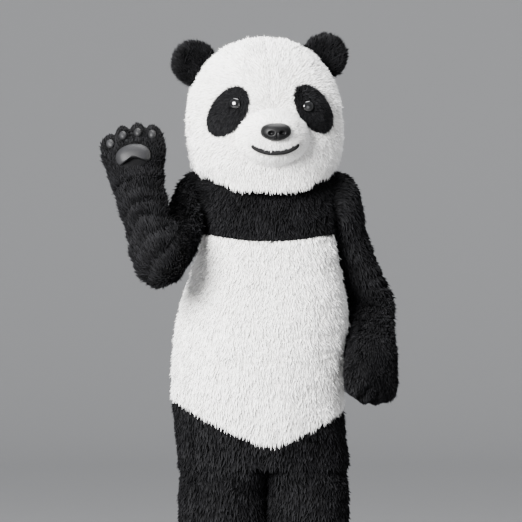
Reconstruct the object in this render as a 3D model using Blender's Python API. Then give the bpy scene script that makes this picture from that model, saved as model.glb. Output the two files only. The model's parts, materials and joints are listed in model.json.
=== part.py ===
"""Plush panda mascot costume, adult size, in the pose it is worn in, without its wearer.

Metres, +Z up, the face looks along -Y, and the floor is z = 0. The suit is a shell: torso panels, sleeves,
legs, mitts and boots are hollow, and the head is a foam shell over a helmet harness.
Every moving group hangs from an empty on its joint, and all the empties hang from one stand empty,
which centres the costume's box on the origin.
"""

import math

import bmesh
import bpy
import numpy as np
from mathutils import Matrix, Vector
from mathutils.bvhtree import BVHTree

# Driving dimensions
SEAM = 0.0015  # open seam between two fur panels
SUIT_WALL = 0.010  # fur fabric with its quilted lining
SLEEVE_WALL = 0.007
CROTCH_Z = 0.712
LEG_LINE_X, LEG_LINE_Z = 0.018, 0.753  # the lowest place of the seam over the legs
NECK_HOLE_Z = 1.435
ARMHOLE_Z, ARMHOLE_RADIUS = 1.343, 0.053
HEAD_YAW, HEAD_ROLL = math.radians(6.0), math.radians(-2.0)
HEAD_MID_Z = 1.560
HEAD_HALF_WIDTH, HEAD_HALF_DEPTH = 0.188, 0.186
MUZZLE_Z = 1.512
EYE_Z = {"right": 1.597, "left": 1.585}
MUZZLE_HALF_WIDTH, MUZZLE_HALF_HEIGHT, MUZZLE_REACH = 0.088, 0.066, 0.062
HEAD_UP, HEAD_DOWN = 0.2025, 0.195  # from the head's widest height to its top, and to where it would close
HEAD_RIM_Z = 1.446
COVER_WALL, SHELL_WALL = 0.010, 0.012
TOUCH_GAP = 0.0006  # between a skin and what it lies on
ELBOW_CLEAR = 0.090  # where a sleeve's plain tube starts, from the elbow's pivot
SLEEVE_START = 0.105  # where the upper sleeve starts, from the shoulder's pivot
SLEEVE_HALF_WIDTH = {"right": 0.048, "left": 0.043}
SLEEVE_HALF_THICKNESS = 0.038
FINGER_RADIUS = 0.0225
FINGERS = [(-0.052, 0.122), (-0.018, 0.140), (0.019, 0.142), (0.053, 0.130)]  # offset across, reach
PAD_LIFT = 0.0022

# Joint centres
NECK = Vector((0.010, 0.000, 1.440))
SHOULDER = {"right": Vector((-0.160, 0.000, 1.335)), "left": Vector((0.196, 0.010, 1.335))}
ELBOW = {"right": Vector((-0.263, -0.206, 1.226)), "left": Vector((0.280, 0.052, 1.108))}
WRIST = {"right": Vector((-0.3075, -0.120, 1.4125)), "left": Vector((0.281, -0.078, 0.974))}
MITT_TIP = {"right": Vector((-0.328, -0.105, 1.549)), "left": Vector((0.277, -0.135, 0.838))}
PALM_FACES = {"right": Vector((0.0, -1.0, 0.0)), "left": Vector((-0.68, 0.73, 0.0))}
HIP = {"right": Vector((-0.103, 0.000, 0.720)), "left": Vector((0.118, 0.000, 0.720))}
KNEE_Z, ANKLE_Z = 0.400, 0.130
ZIP_TOP_Z = 1.340
SIDE_SIGN = {"right": -1, "left": 1}

# Torso sections: height, middle x, half width, depth to the front, depth to the back.
# From 0.88 to 1.35 the middle goes over by 0.07 and the back in by 0.06 per metre, so the zip is straight.
TORSO = [
    (0.712, 0.004, 0.203, 0.152, 0.150),
    (0.800, -0.005, 0.206, 0.180, 0.164),
    (0.880, -0.0100, 0.206, 0.196, 0.1672),
    (0.960, -0.0044, 0.209, 0.204, 0.1624),
    (1.040, 0.0012, 0.208, 0.200, 0.1576),
    (1.120, 0.0068, 0.194, 0.184, 0.1528),
    (1.200, 0.0124, 0.176, 0.162, 0.1480),
    (1.280, 0.0180, 0.163, 0.140, 0.1432),
    (1.350, 0.0229, 0.160, 0.124, 0.1390),
    (1.400, 0.0200, 0.150, 0.110, 0.1360),
    (1.435, 0.0160, 0.122, 0.096, 0.1339),
]
# Turns of the torso's grid lines, in degrees. Panels that meet at a seam share them.
FRONT_TURNS = [-165, -150, -135, -120, -108, -98, -94, -90, -86, -82, -72, -60, -45, -30, -15]
BACK_TURNS = [15, 30, 45, 60, 72]

# The base colours: slot name, red, green, blue, roughness
COLOURS = {
    "white_fur": (0.86, 0.85, 0.83, 0.9),
    "black_fur": (0.022, 0.022, 0.024, 0.9),
    "black_pad": (0.045, 0.045, 0.048, 0.45),
    "nose_plastic": (0.030, 0.030, 0.032, 0.3),
    "lens": (0.010, 0.010, 0.012, 0.06),
    "foam": (0.34, 0.35, 0.37, 0.8),
    "helmet_shell": (0.78, 0.78, 0.76, 0.35),
    "webbing": (0.05, 0.05, 0.06, 0.7),
    "zip_coil": (0.60, 0.59, 0.57, 0.5),
    "zip_metal": (0.62, 0.61, 0.58, 0.3),
    "sole_rubber": (0.06, 0.06, 0.06, 0.8),
}


def clear_scene():
    for obj in list(bpy.data.objects):
        bpy.data.objects.remove(obj)


def material(slot):
    red, green, blue, roughness = COLOURS[slot]
    made = bpy.data.materials.get(slot)
    if made is None:
        made = bpy.data.materials.new(slot)
        made.use_nodes = True
        shader = made.node_tree.nodes["Principled BSDF"]
        shader.inputs["Base Color"].default_value = (red, green, blue, 1.0)
        shader.inputs["Roughness"].default_value = roughness
        shader.inputs["Metallic"].default_value = 1.0 if slot == "zip_metal" else 0.0
    return made


def pivot(name, place, stand):
    """An empty on a joint's centre, which its moving group hangs from."""
    empty = bpy.data.objects.new(name, None)
    bpy.context.scene.collection.objects.link(empty)
    empty.parent = stand
    empty.location = place
    return empty


def node(name, mesh, slot, group):
    """A named sub-part: its mesh is moved so that its origin is its group's pivot."""
    mesh.materials.append(material(slot))
    mesh.shade_smooth()
    mesh.set_sharp_from_angle(angle=math.radians(40))
    obj = bpy.data.objects.new(name, mesh)
    bpy.context.scene.collection.objects.link(obj)
    mesh.transform(Matrix.Translation(-Vector(group.location)))
    obj.parent = group
    return obj


def mesh_of(name, bm):
    bmesh.ops.recalc_face_normals(bm, faces=bm.faces)
    mesh = bpy.data.meshes.new(name)
    bm.to_mesh(mesh)
    bm.free()
    return mesh


def curve_at(keys, height):
    """The values of a table at a height, on a smooth curve through its rows."""
    table = np.array(keys)
    heights = table[:, 0]
    slopes = np.gradient(table[:, 1:], heights, axis=0)
    height = min(max(height, heights[0]), heights[-1])
    k = min(int(np.searchsorted(heights, height, side="right")) - 1, len(heights) - 2)
    span = heights[k + 1] - heights[k]
    t = (height - heights[k]) / span
    ends = (2 * t**3 - 3 * t**2 + 1) * table[k, 1:] + (3 * t**2 - 2 * t**3) * table[k + 1, 1:]
    return ends + (t**3 - 2 * t**2 + t) * span * slopes[k] + (t**3 - t**2) * span * slopes[k + 1]


def squircle(turn, power):
    """A point of the unit superellipse at an angle."""
    c, s = math.cos(turn), math.sin(turn)
    return math.copysign(abs(c) ** (2 / power), c), math.copysign(abs(s) ** (2 / power), s)


# ---- solids from rings and grids


def add_rings(bm, rings, inward=False):
    """Skins a list of rings with quads, and returns the rings' vertices."""
    made = [[bm.verts.new(point) for point in ring] for ring in rings]
    for low, high in zip(made, made[1:]):
        for i in range(len(low)):
            j = (i + 1) % len(low)
            face = [low[i], low[j], high[j], high[i]]
            bm.faces.new(face[::-1] if inward else face)
    return made


def cap(bm, ring):
    """Closes a ring with a fan round its middle."""
    middle = bm.verts.new(sum((v.co for v in ring), Vector()) / len(ring))
    for i in range(len(ring)):
        bm.faces.new([ring[i], ring[(i + 1) % len(ring)], middle])


def bridge(bm, ring_a, ring_b):
    for i in range(len(ring_a)):
        j = (i + 1) % len(ring_a)
        bm.faces.new([ring_a[i], ring_a[j], ring_b[j], ring_b[i]])


def solid(name, rings):
    """A closed solid through rings, with a cap at each end."""
    bm = bmesh.new()
    made = add_rings(bm, rings)
    cap(bm, made[0])
    cap(bm, made[-1])
    return mesh_of(name, bm)


def hollow(name, outer, inner, closed_end=False):
    """A wall between two ring skins. It is open at its first ring, and at its last one unless closed_end."""
    bm = bmesh.new()
    outside = add_rings(bm, outer)
    inside = add_rings(bm, inner, inward=True)
    bridge(bm, outside[0], inside[0])
    if closed_end:
        cap(bm, outside[-1])
        cap(bm, inside[-1])
    else:
        bridge(bm, outside[-1], inside[-1])
    return mesh_of(name, bm)


def slab(name, outer, inner):
    """A panel between two grids of points, closed round its four edges."""
    bm = bmesh.new()
    top = [[bm.verts.new(p) for p in row] for row in outer]
    under = [[bm.verts.new(p) for p in row] for row in inner]
    rows, columns = len(top), len(top[0])
    for i in range(rows - 1):
        for j in range(columns - 1):
            bm.faces.new([top[i][j], top[i][j + 1], top[i + 1][j + 1], top[i + 1][j]])
            bm.faces.new([under[i][j], under[i + 1][j], under[i + 1][j + 1], under[i][j + 1]])
    for i in range(rows - 1):
        for j in (0, columns - 1):
            bm.faces.new([top[i][j], top[i + 1][j], under[i + 1][j], under[i][j]])
    for j in range(columns - 1):
        for i in (0, rows - 1):
            bm.faces.new([top[i][j], under[i][j], under[i][j + 1], top[i][j + 1]])
    return mesh_of(name, bm)


def disc(name, outer, inner):
    """A closed patch between two polar grids: each is a middle point followed by rings."""
    bm = bmesh.new()
    rims = []
    for grid, inward in ((outer, False), (inner, True)):
        middle = bm.verts.new(grid[0])
        made = add_rings(bm, grid[1:], inward)
        for i in range(len(made[0])):
            bm.faces.new([middle, made[0][i], made[0][(i + 1) % len(made[0])]])
        rims.append(made[-1])
    bridge(bm, rims[0], rims[1])
    return mesh_of(name, bm)


def boolean(obj, cutter, operation):
    modifier = obj.modifiers.new(cutter.name, "BOOLEAN")
    modifier.object = cutter
    modifier.operation = operation
    modifier.solver = "EXACT"


def helper(name, mesh, stand):
    """A cutter or a shape to be joined, which isn't a sub-part itself."""
    obj = bpy.data.objects.new(name, mesh)
    bpy.context.scene.collection.objects.link(obj)
    obj.parent = stand
    obj.hide_render = True
    obj.display_type = "WIRE"
    return obj


# ---- tubes along a limb


def tube_rings(path, sizes, side, inset=0.0, count=16, power=2.2):
    """Rings of half sizes (towards side, other way) along a path."""
    rings = []
    for i, (point, half_sizes) in enumerate(zip(path, sizes)):
        tangent = (path[min(i + 1, len(path) - 1)] - path[max(i - 1, 0)]).normalized()
        rings.append(ring_at(point, tangent, side, [h - inset for h in half_sizes], count, power))
    return rings


def tube(name, path, sizes, side, wall, count=16):
    outer = tube_rings(path, sizes, side, 0.0, count)
    return hollow(name, outer, tube_rings(path, sizes, side, wall, count))


def ring_at(middle, tangent, side, half_sizes, count=16, power=2.2):
    """One ring square to a tangent. Its first half size leans to side."""
    across = (side - side.dot(tangent) * tangent).normalized()
    other = tangent.cross(across)
    ring = []
    for i in range(count):
        c, s = squircle(math.tau * i / count, power)
        ring.append(middle + across * c * half_sizes[0] + other * s * half_sizes[1])
    return ring


def blended_rings(first, last, leave, arrive, steps, reach):
    """Rings that sweep from one ring to another, leaving along one direction and arriving along another."""
    rings = []
    for t in np.linspace(0, 1, steps):
        ring = []
        for a, b in zip(first, last):
            pull = reach + 0.9 * (b - a).length
            point = a * (2 * t**3 - 3 * t**2 + 1) + b * (3 * t**2 - 2 * t**3)
            ring.append(point + leave * pull * (t**3 - 2 * t**2 + t) + arrive * pull * (t**3 - t**2))
        rings.append(ring)
    return rings


# ---- the torso


def torso_point(turn, height, inset=0.0):
    """A point of the torso's skin. Turn 0 is the wearer's left, 90 degrees the back, -90 the front."""
    middle, width, front, back = curve_at(TORSO, height)
    c, s = squircle(turn, 2.25)
    depth = back if s > 0 else front
    return Vector((middle + (width - inset) * c, (depth - inset) * s, height))


def yoke_line(turn):
    """Height of the seam under the black band, which dips in the middle of the chest and the back."""
    return 1.276 - 0.018 * abs(math.sin(turn)) ** 3


def leg_line(turn):
    """Height of the seam over the black legs: a soft V in front and a straight one behind."""
    middle, width = curve_at(TORSO, 0.8)[:2]
    x = middle + width * squircle(turn, 2.25)[0]
    if math.sin(turn) <= 0:
        return LEG_LINE_Z + 0.70 * abs(x - LEG_LINE_X) ** 1.25
    reach = abs(x - middle) / width
    edge = middle + math.copysign(width, x - middle)
    side = LEG_LINE_Z + 0.70 * abs(edge - LEG_LINE_X) ** 1.25
    return side * reach + (LEG_LINE_Z + 0.009) * (1 - reach)


def panel(name, turns, low, high, rows, wall=SUIT_WALL, inset=0.0):
    """A torso panel over a list of turns, from the low line to the high line."""
    outer, inner = [], []
    for turn in np.radians(turns):
        heights = np.linspace(low(turn), high(turn), rows)
        outer.append([torso_point(turn, h, inset) for h in heights])
        inner.append([torso_point(turn, h, inset + wall) for h in heights])
    return slab(name, outer, inner)


def build_torso(group, stand):
    seam = math.degrees(SEAM / 0.2 / 2)
    zip_edge = 90 - math.degrees(0.0175 / 0.15)
    front = [-180 + seam] + FRONT_TURNS + [-seam]
    back_left = [seam] + BACK_TURNS + [zip_edge]
    back_right = [180 - t for t in reversed(back_left)]

    def above_yoke(turn):
        return yoke_line(turn) + SEAM / 2

    def under_yoke(turn):
        return yoke_line(turn) - SEAM / 2

    def above_legs(turn):
        return leg_line(turn) + SEAM / 2

    def under_legs(turn):
        return leg_line(turn) - SEAM / 2

    def neck_hole(turn):
        return NECK_HOLE_Z

    def leg_hole(turn):
        return CROTCH_Z

    def white(name, turns):
        node(name, panel(name, turns, above_legs, under_yoke, 8), "white_fur", group)

    def yoke(name, turns):
        return node(name, panel(name, turns, above_yoke, neck_hole, 5), "black_fur", group)

    white("belly_panel", front)
    white("back_panel_left", back_left)
    white("back_panel_right", back_right)
    chest = yoke("chest_yoke", front)
    backs = {"left": yoke("back_yoke_left", back_left), "right": yoke("back_yoke_right", back_right)}

    hip_left = [-89.6] + [t for t in FRONT_TURNS if t >= -86] + [0] + BACK_TURNS + [89.6]
    hip_right = [-180 - t for t in hip_left]
    for name, turns in (("hip_panel_left", hip_left), ("hip_panel_right", hip_right)):
        node(name, panel(name, turns, leg_hole, under_legs, 3), "black_fur", group)
    pad_turns = [-150, -130, -110, -90, -70, -50, -30]
    pad = panel("belly_pad", pad_turns, lambda t: 0.86, lambda t: 1.18, 5, 0.028, SUIT_WALL + 0.003)
    node("belly_pad", pad, "foam", group)
    for side, sign in SIDE_SIGN.items():
        path = [Vector((sign * x, SHOULDER[side].y, ARMHOLE_Z)) for x in (0.10, 0.26)]
        rings = tube_rings(path, [(ARMHOLE_RADIUS, ARMHOLE_RADIUS)] * 2, Vector((0, 0, 1)), 0, 16, 2.0)
        cutter = helper("armhole_cutter_" + side, solid("armhole_cutter", rings), stand)
        boolean(chest, cutter, "DIFFERENCE")
        boolean(backs[side], cutter, "DIFFERENCE")


def zip_line(height, out):
    """A point on the middle of the back, out from the skin."""
    back = 0.1660 - 0.06 * (height - 0.900)
    return Vector((curve_at(TORSO, height)[0], back + out, height))


def build_zip(torso, slider_group, pull_group):
    half_width, thickness = 0.0150, 0.0025
    outer, inner = [], []
    for across in (-half_width, -0.004, 0.004, half_width):
        raised = 0.0015 if abs(across) < 0.01 else 0.0
        heights = np.linspace(0.773, 1.405, 13)
        skin = [torso_point(math.pi / 2, h) + Vector((across, 0, 0)) for h in heights]
        outer.append([p + Vector((0, raised, 0)) for p in skin])
        inner.append([p - Vector((0, thickness, 0)) for p in skin])
    node("zip_tape", slab("zip_tape", outer, inner), "zip_coil", torso)

    top, width, depth = zip_line(ZIP_TOP_Z, 0.0035), 0.006, 0.004
    body = []
    for drop, scale in ((-0.006, 0.7), (-0.003, 1.0), (0.012, 0.8)):
        y = top.y + 0.06 * drop
        body.append([
            Vector((top.x - width * scale, y - 0.001, top.z - drop)),
            Vector((top.x + width * scale, y - 0.001, top.z - drop)),
            Vector((top.x + width * scale, y + depth, top.z - drop)),
            Vector((top.x - width * scale, y + depth, top.z - drop)),
        ])
    node("zip_slider", solid("zip_slider", body), "zip_metal", slider_group)

    hang = top + Vector((0, depth + 0.0012, -0.002))
    rings = []
    for drop, half in ((0.0, 0.0022), (0.006, 0.0045), (0.030, 0.0050), (0.034, 0.0030)):
        y = hang.y + 0.06 * drop
        rings.append([
            Vector((hang.x - half, y, hang.z - drop)),
            Vector((hang.x + half, y, hang.z - drop)),
            Vector((hang.x + half, y + 0.002, hang.z - drop)),
            Vector((hang.x - half, y + 0.002, hang.z - drop)),
        ])
    node("zip_pull", solid("zip_pull", rings), "zip_metal", pull_group)


def build_tail(group):
    """A short round tail over the seat of the suit."""
    radius, depth, height = 0.050, 0.040, 0.830
    reach = 0.0015 + 0.0010 + depth * math.sin(math.radians(70))
    middle = torso_point(math.pi / 2, height) + Vector((0, reach, 0))
    rings = []
    for lat in np.radians([-70, -35, 0, 35, 70]):
        half_sizes = [radius * math.cos(lat)] * 2
        place = middle + Vector((0, depth * math.sin(lat), 0))
        rings.append(ring_at(place, Vector((0, 1, 0)), Vector((1, 0, 0)), half_sizes, 12, 2.0))
    node("tail", solid("tail", rings), "black_fur", group)


# ---- the arms


def build_arm(side, torso, upper_group, fore_group, mitt_group):
    sign = SIDE_SIGN[side]
    shoulder, elbow, wrist = SHOULDER[side], ELBOW[side], WRIST[side]
    upper = (elbow - shoulder).normalized()
    fore = (wrist - elbow).normalized()
    hinge = upper.cross(fore).normalized()
    wide, thick = SLEEVE_HALF_WIDTH[side], SLEEVE_HALF_THICKNESS

    start, end = shoulder + upper * SLEEVE_START, elbow - upper * (ELBOW_CLEAR + 0.002)
    path = [start.lerp(end, t) for t in (0.0, 0.5, 1.0)]
    sizes = [(wide, thick + 0.004), (wide, thick + 0.003), (wide, thick)]
    sleeve = tube("upper_sleeve", path, sizes, hinge, SLEEVE_WALL)
    node("upper_sleeve_" + side, sleeve, "black_fur", upper_group)

    # The shoulder's gusset runs from the armhole to the sleeve, and gives as the arm swings.
    outward = Vector((sign, 0, 0))
    mouth = Vector((shoulder.x - sign * 0.030, shoulder.y, ARMHOLE_Z))
    skins = []
    for inset in (0.0, 0.006):
        radius = ARMHOLE_RADIUS - 0.0015 - inset
        hem = ring_at(mouth, outward, hinge, (radius, radius), 16, 2.0)
        first = [p + outward * 0.022 for p in hem]
        half_sizes = (wide - inset, thick + 0.004 - inset)
        last = ring_at(start - upper * 0.002, upper, hinge, half_sizes)
        skins.append([hem] + blended_rings(first, last, outward, upper, 5, 0.010))
    node("shoulder_gusset_" + side, hollow("shoulder_gusset", *skins), "black_fur", torso)

    # At the elbow the cloth bags out, and its ring there is as deep as the bend is sharp.
    across = (upper + fore).normalized()
    deep = thick / math.cos(upper.angle(fore) / 2) - 0.003
    spread = 0.020 if side == "right" else 0.004
    skins = []
    for inset in (0.0, 0.005):
        half_sizes = (wide - inset, thick - inset)
        first = ring_at(elbow - upper * ELBOW_CLEAR, upper, hinge, half_sizes)
        half_sizes = (wide + spread - inset, deep - inset)
        middle = ring_at(elbow, upper + fore, hinge, half_sizes)
        half_sizes = (wide + 0.002 - inset, thick + 0.003 - inset)
        last = ring_at(elbow + fore * ELBOW_CLEAR, fore, hinge, half_sizes)
        rings = blended_rings(first, middle, upper, across, 5, 0.004)
        skins.append(rings + blended_rings(middle, last, across, fore, 5, 0.004)[1:])
    node("elbow_gusset_" + side, hollow("elbow_gusset", *skins), "black_fur", upper_group)

    start, end = elbow + fore * (ELBOW_CLEAR + 0.002), wrist + fore * 0.004
    path = [start.lerp(end, t) for t in (0.0, 0.4, 0.75, 1.0)]
    sizes = [(wide + 0.002, thick + 0.003), (wide + 0.007, thick + 0.010), (0.046, 0.045), (0.044, 0.043)]
    sleeve = tube("lower_sleeve", path, sizes, hinge, SLEEVE_WALL)
    node("lower_sleeve_" + side, sleeve, "black_fur", fore_group)

    build_mitt(side, fore, mitt_group)


def build_mitt(side, fore, group):
    """A stuffed mitt with four finger lobes, over the sleeve's end, with a palm pad and four toe pads."""
    wrist, tip = WRIST[side], MITT_TIP[side]
    along = (tip - wrist).normalized()
    palm = (PALM_FACES[side] - PALM_FACES[side].dot(along) * along).normalized()
    across = along.cross(palm).normalized()
    path = [wrist - fore * 0.022, wrist + fore * 0.008] + [wrist + along * s for s in (0.040, 0.070, 0.092)]
    sizes = [(0.060, 0.056), (0.062, 0.055), (0.070, 0.046), (0.0755, 0.0415), (0.068, 0.030)]
    skins = []
    for inset in (0.0, 0.007):
        rings = [ring_at(path[0], fore, across, [h - inset for h in sizes[0]], 20, 2.2)]
        rings += [ring_at(path[1], fore, across, [h - inset for h in sizes[1]], 20, 2.3)]
        for place, half_sizes in zip(path[2:], sizes[2:]):
            rings.append(ring_at(place, along, across, [h - inset for h in half_sizes], 20, 2.6))
        skins.append(rings)
    mitt = node("mitt_" + side, hollow("mitt", skins[0], skins[1][:-1], True), "black_fur", group)

    # The finger lobes are round stuffed ends side by side.
    toes = []
    for k, (offset, reach) in enumerate(FINGERS):
        base = wrist + along * 0.066 + across * offset
        length = reach - 0.066
        rings = []
        for t, scale in ((0.0, 0.80), (0.35, 1.0), (0.70, 0.96), (0.88, 0.72), (1.0, 0.28)):
            half_sizes = (FINGER_RADIUS * scale, FINGER_RADIUS * 1.3 * scale)
            rings.append(ring_at(base + along * length * t, along, across, half_sizes, 12, 2.0))
        boolean(mitt, helper(f"lobe_{side}_{k}", solid("lobe", rings), group.parent), "UNION")
        toes.append(base + along * (length - 0.022))

    graph = bpy.context.evaluated_depsgraph_get()
    skin = BVHTree.FromObject(mitt, graph)
    origin = Vector(group.location)

    def pad(name, middle, half_sizes, height, rings):
        mesh = laid_pad(skin, origin, middle, (across, along, palm), half_sizes, height, rings)
        node(name, mesh, "black_pad", group)

    pad("palm_pad_" + side, wrist + along * 0.052, (0.040, 0.026), 0.009, (0.4, 0.75, 1.0))
    for k, toe in enumerate(toes):
        pad(f"toe_pad_{side}_{k + 1}", toe, (0.0095, 0.0115), 0.005, (0.6, 1.0))


def laid_pad(skin, origin, middle, axes, half_sizes, height, shares):
    """A puffed elliptical pad laid on a skin, which is searched from outside against the third axis."""
    across, along, out = axes

    def grid_point(share, turn):
        spot = middle + across * half_sizes[0] * share * math.cos(turn)
        spot = spot + along * half_sizes[1] * share * math.sin(turn)
        hit = skin.ray_cast(spot + out * 0.2 - origin, -out)[0] + origin
        swell = height * (0.3 + 0.7 * math.sqrt(max(0.0, 1 - share**2)))
        return hit + out * PAD_LIFT, hit + out * (PAD_LIFT + swell)

    low, high = grid_point(0.0, 0.0)
    back, front = [low], [high]
    for share in shares:
        pairs = [grid_point(share, turn) for turn in np.arange(12) * math.tau / 12]
        back.append([low for low, high in pairs])
        front.append([high for low, high in pairs])
    return disc("pad", front, back)


# ---- the legs


def build_leg(side, torso, thigh_group, shin_group, foot_group):
    hip = HIP[side]
    width = 0.098 if side == "right" else 0.092
    upright = Vector((1, 0, 0))

    def leg_tube(name, sections, wall, group):
        path = [Vector((hip.x, 0.004, z)) for z, _, _ in sections]
        sizes = [(across, deep) for _, across, deep in sections]
        node(name, tube(name, path, sizes, upright, wall), "black_fur", group)

    hip_sections = [(0.708, width, 0.128), (0.680, width, 0.124), (0.648, width, 0.118)]
    leg_tube("hip_gusset_" + side, hip_sections, 0.006, torso)
    thigh_sections = [(0.645, width, 0.118), (0.550, width, 0.107), (0.457, width - 0.007, 0.098)]
    leg_tube("thigh_" + side, thigh_sections, SLEEVE_WALL, thigh_group)
    knee_sections = [(0.455, width - 0.007, 0.097), (0.400, width - 0.008, 0.093),
                     (0.345, width - 0.008, 0.093)]
    leg_tube("knee_gusset_" + side, knee_sections, 0.006, thigh_group)
    shin_sections = [(0.343, width - 0.008, 0.093), (0.240, width - 0.012, 0.088), (0.160, 0.076, 0.080),
                     (0.112, 0.070, 0.072)]
    leg_tube("shin_" + side, shin_sections, SLEEVE_WALL, shin_group)
    build_boot(side, hip.x, foot_group, torso.parent)


def foot_half_width(y):
    """Half width of the foot's outline at a place along it, from the heel at the back to the toe."""
    share = (y + 0.218) / (0.112 + 0.218)
    share = min(max(share, 0.0), 1.0)
    return 0.092 * (1 - abs(2 * share - 1) ** 2.6) ** (1 / 2.2) * (1.04 - 0.16 * share)


def foot_rings(middle_x, inset, floor):
    rings = []
    ends = (0.110 - inset, -0.216 + inset)
    for t in np.linspace(0.03, 0.97, 9):
        y = ends[0] + (ends[1] - ends[0]) * t
        half = max(foot_half_width(y) - inset, 0.010)
        height = 0.062 + 0.058 * math.exp(-(((y - 0.015) / 0.085) ** 2)) - inset
        height *= 0.45 + 0.55 * math.sin(math.pi * min(max(t, 0.06), 0.94)) ** 0.5
        ring = []
        for turn in np.arange(16) * math.tau / 16:
            c, s = squircle(turn, 2.6)
            ring.append(Vector((middle_x + half * c, y, max(floor + 0.030 + s * height, floor))))
        rings.append(ring)
    return rings


def build_boot(side, middle_x, group, stand):
    """A padded overshoe with a collar round the trouser leg, on a rubber sole."""
    sole_top = 0.0140
    upper = solid("boot", foot_rings(middle_x, 0.0, sole_top + 0.0004))
    boot = node("boot_" + side, upper, "black_fur", group)
    upright = Vector((1, 0, 0))
    collar = [Vector((middle_x, 0.008, z)) for z in (0.050, 0.120, 0.165)]
    ankle = tube_rings(collar, [(0.090, 0.094), (0.093, 0.097), (0.094, 0.098)], upright)
    boolean(boot, helper("boot_collar_" + side, solid("collar", ankle), stand), "UNION")
    inside = foot_rings(middle_x, 0.010, sole_top + 0.008)
    boolean(boot, helper("boot_inside_" + side, solid("inside", inside), stand), "DIFFERENCE")
    bore = [Vector((middle_x, 0.008, z)) for z in (0.060, 0.180)]
    bore = tube_rings(bore, [(0.084, 0.088), (0.087, 0.091)], upright)
    boolean(boot, helper("boot_bore_" + side, solid("bore", bore), stand), "DIFFERENCE")

    outline = []
    for y in np.linspace(0.1120, -0.2180, 16):
        outline.append((max(foot_half_width(y), 0.012), y))
    loop = [(x, y) for x, y in outline] + [(-x, y) for x, y in reversed(outline)]
    rings = [[Vector((middle_x + x, y, z)) for x, y in loop] for z in (0.0, sole_top)]
    bm = bmesh.new()
    made = add_rings(bm, rings)
    bm.faces.new(made[0])
    bm.faces.new(made[-1])
    node("sole_" + side, mesh_of("sole", bm), "sole_rubber", group)


# ---- the head, built facing -Y and then turned a little on the neck


def head_sizes(height, inset=0.0):
    """Half width and half depth of the head at a height."""
    if height >= HEAD_MID_Z:
        share = (1 - min((height - HEAD_MID_Z) / (HEAD_UP - inset), 1) ** 2.1) ** (1 / 2.1)
    else:
        share = (1 - ((HEAD_MID_Z - height) / HEAD_DOWN) ** 3) ** (1 / 3)
    return (HEAD_HALF_WIDTH - inset) * share, (HEAD_HALF_DEPTH - inset) * share


def head_ring(height, inset=0.0, count=24):
    width, depth = head_sizes(height, inset)
    ring = []
    for i in range(count):
        c, s = squircle(math.tau * i / count, 2.3)
        ring.append(Vector((width * c, depth * s, height)))
    return ring


def head_rings(inset, rim, count=24):
    """Rings from the rim up to just under the crown."""
    low = [head_ring(z, inset, count) for z in np.linspace(rim, HEAD_MID_Z, 4)[:-1]]
    lats = np.radians([0, 16, 32, 48, 63, 77])
    high = [HEAD_MID_Z + (HEAD_UP - inset) * math.sin(lat) ** (2 / 2.1) for lat in lats]
    return low + [head_ring(z, inset, count) for z in high]


def face_point(x, z):
    """The face's skin at a place seen from the front, with its outward normal."""

    def depth(px, pz):
        width, reach = head_sizes(pz)
        return -reach * (1 - min(abs(px / width), 1) ** 2.3) ** (1 / 2.3)

    step = 0.001
    slope_x = (depth(x + step, z) - depth(x - step, z)) / (2 * step)
    slope_z = (depth(x, z + step) - depth(x, z - step)) / (2 * step)
    return Vector((x, depth(x, z), z)), Vector((slope_x, -1.0, slope_z)).normalized()


def muzzle_reach(share):
    """How far the snout stands out, at a share of the way from its middle to its edge."""
    return 0.005 + MUZZLE_REACH * max(0.0, 1 - share**2.4) ** 0.75


def muzzle_point(x, z):
    """The snout's skin at a place seen from the front."""
    share = math.hypot(x / MUZZLE_HALF_WIDTH, (z - MUZZLE_Z) / MUZZLE_HALF_HEIGHT)
    return face_point(x, z)[0] + Vector((0, -TOUCH_GAP - muzzle_reach(min(share, 1)), 0))


def face_patch(middle, outline, shares, spokes, base, thickness):
    """A patch over a base surface. Outline gives (x, z) for an angle, and thickness goes by reach."""
    outer, inner = [], []
    for share in [0.0] + list(shares):
        high, low = [], []
        for turn in np.arange(spokes) * math.tau / spokes:
            x, z = outline(turn)
            skin, normal = base(middle[0] + x * share, middle[1] + z * share)
            low.append(skin)
            high.append(skin + normal * thickness(share))
        outer.append(high if share else high[0])
        inner.append(low if share else low[0])
    return disc("patch", outer, inner)


def tilted_oval(half_long, half_short, lean):
    """An oval outline whose long axis leans from upright."""

    def outline(turn):
        u, v = half_short * math.cos(turn), half_long * math.sin(turn)
        return u * math.cos(lean) + v * math.sin(lean), -u * math.sin(lean) + v * math.cos(lean)

    return outline


def nose_outline(turn):
    """Wide at the top and narrowing below."""
    x, z = 0.037 * math.cos(turn), 0.022 * math.sin(turn)
    return x * (1.0 if z > 0 else 1.0 - 0.35 * (z / 0.022) ** 2), z


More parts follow.
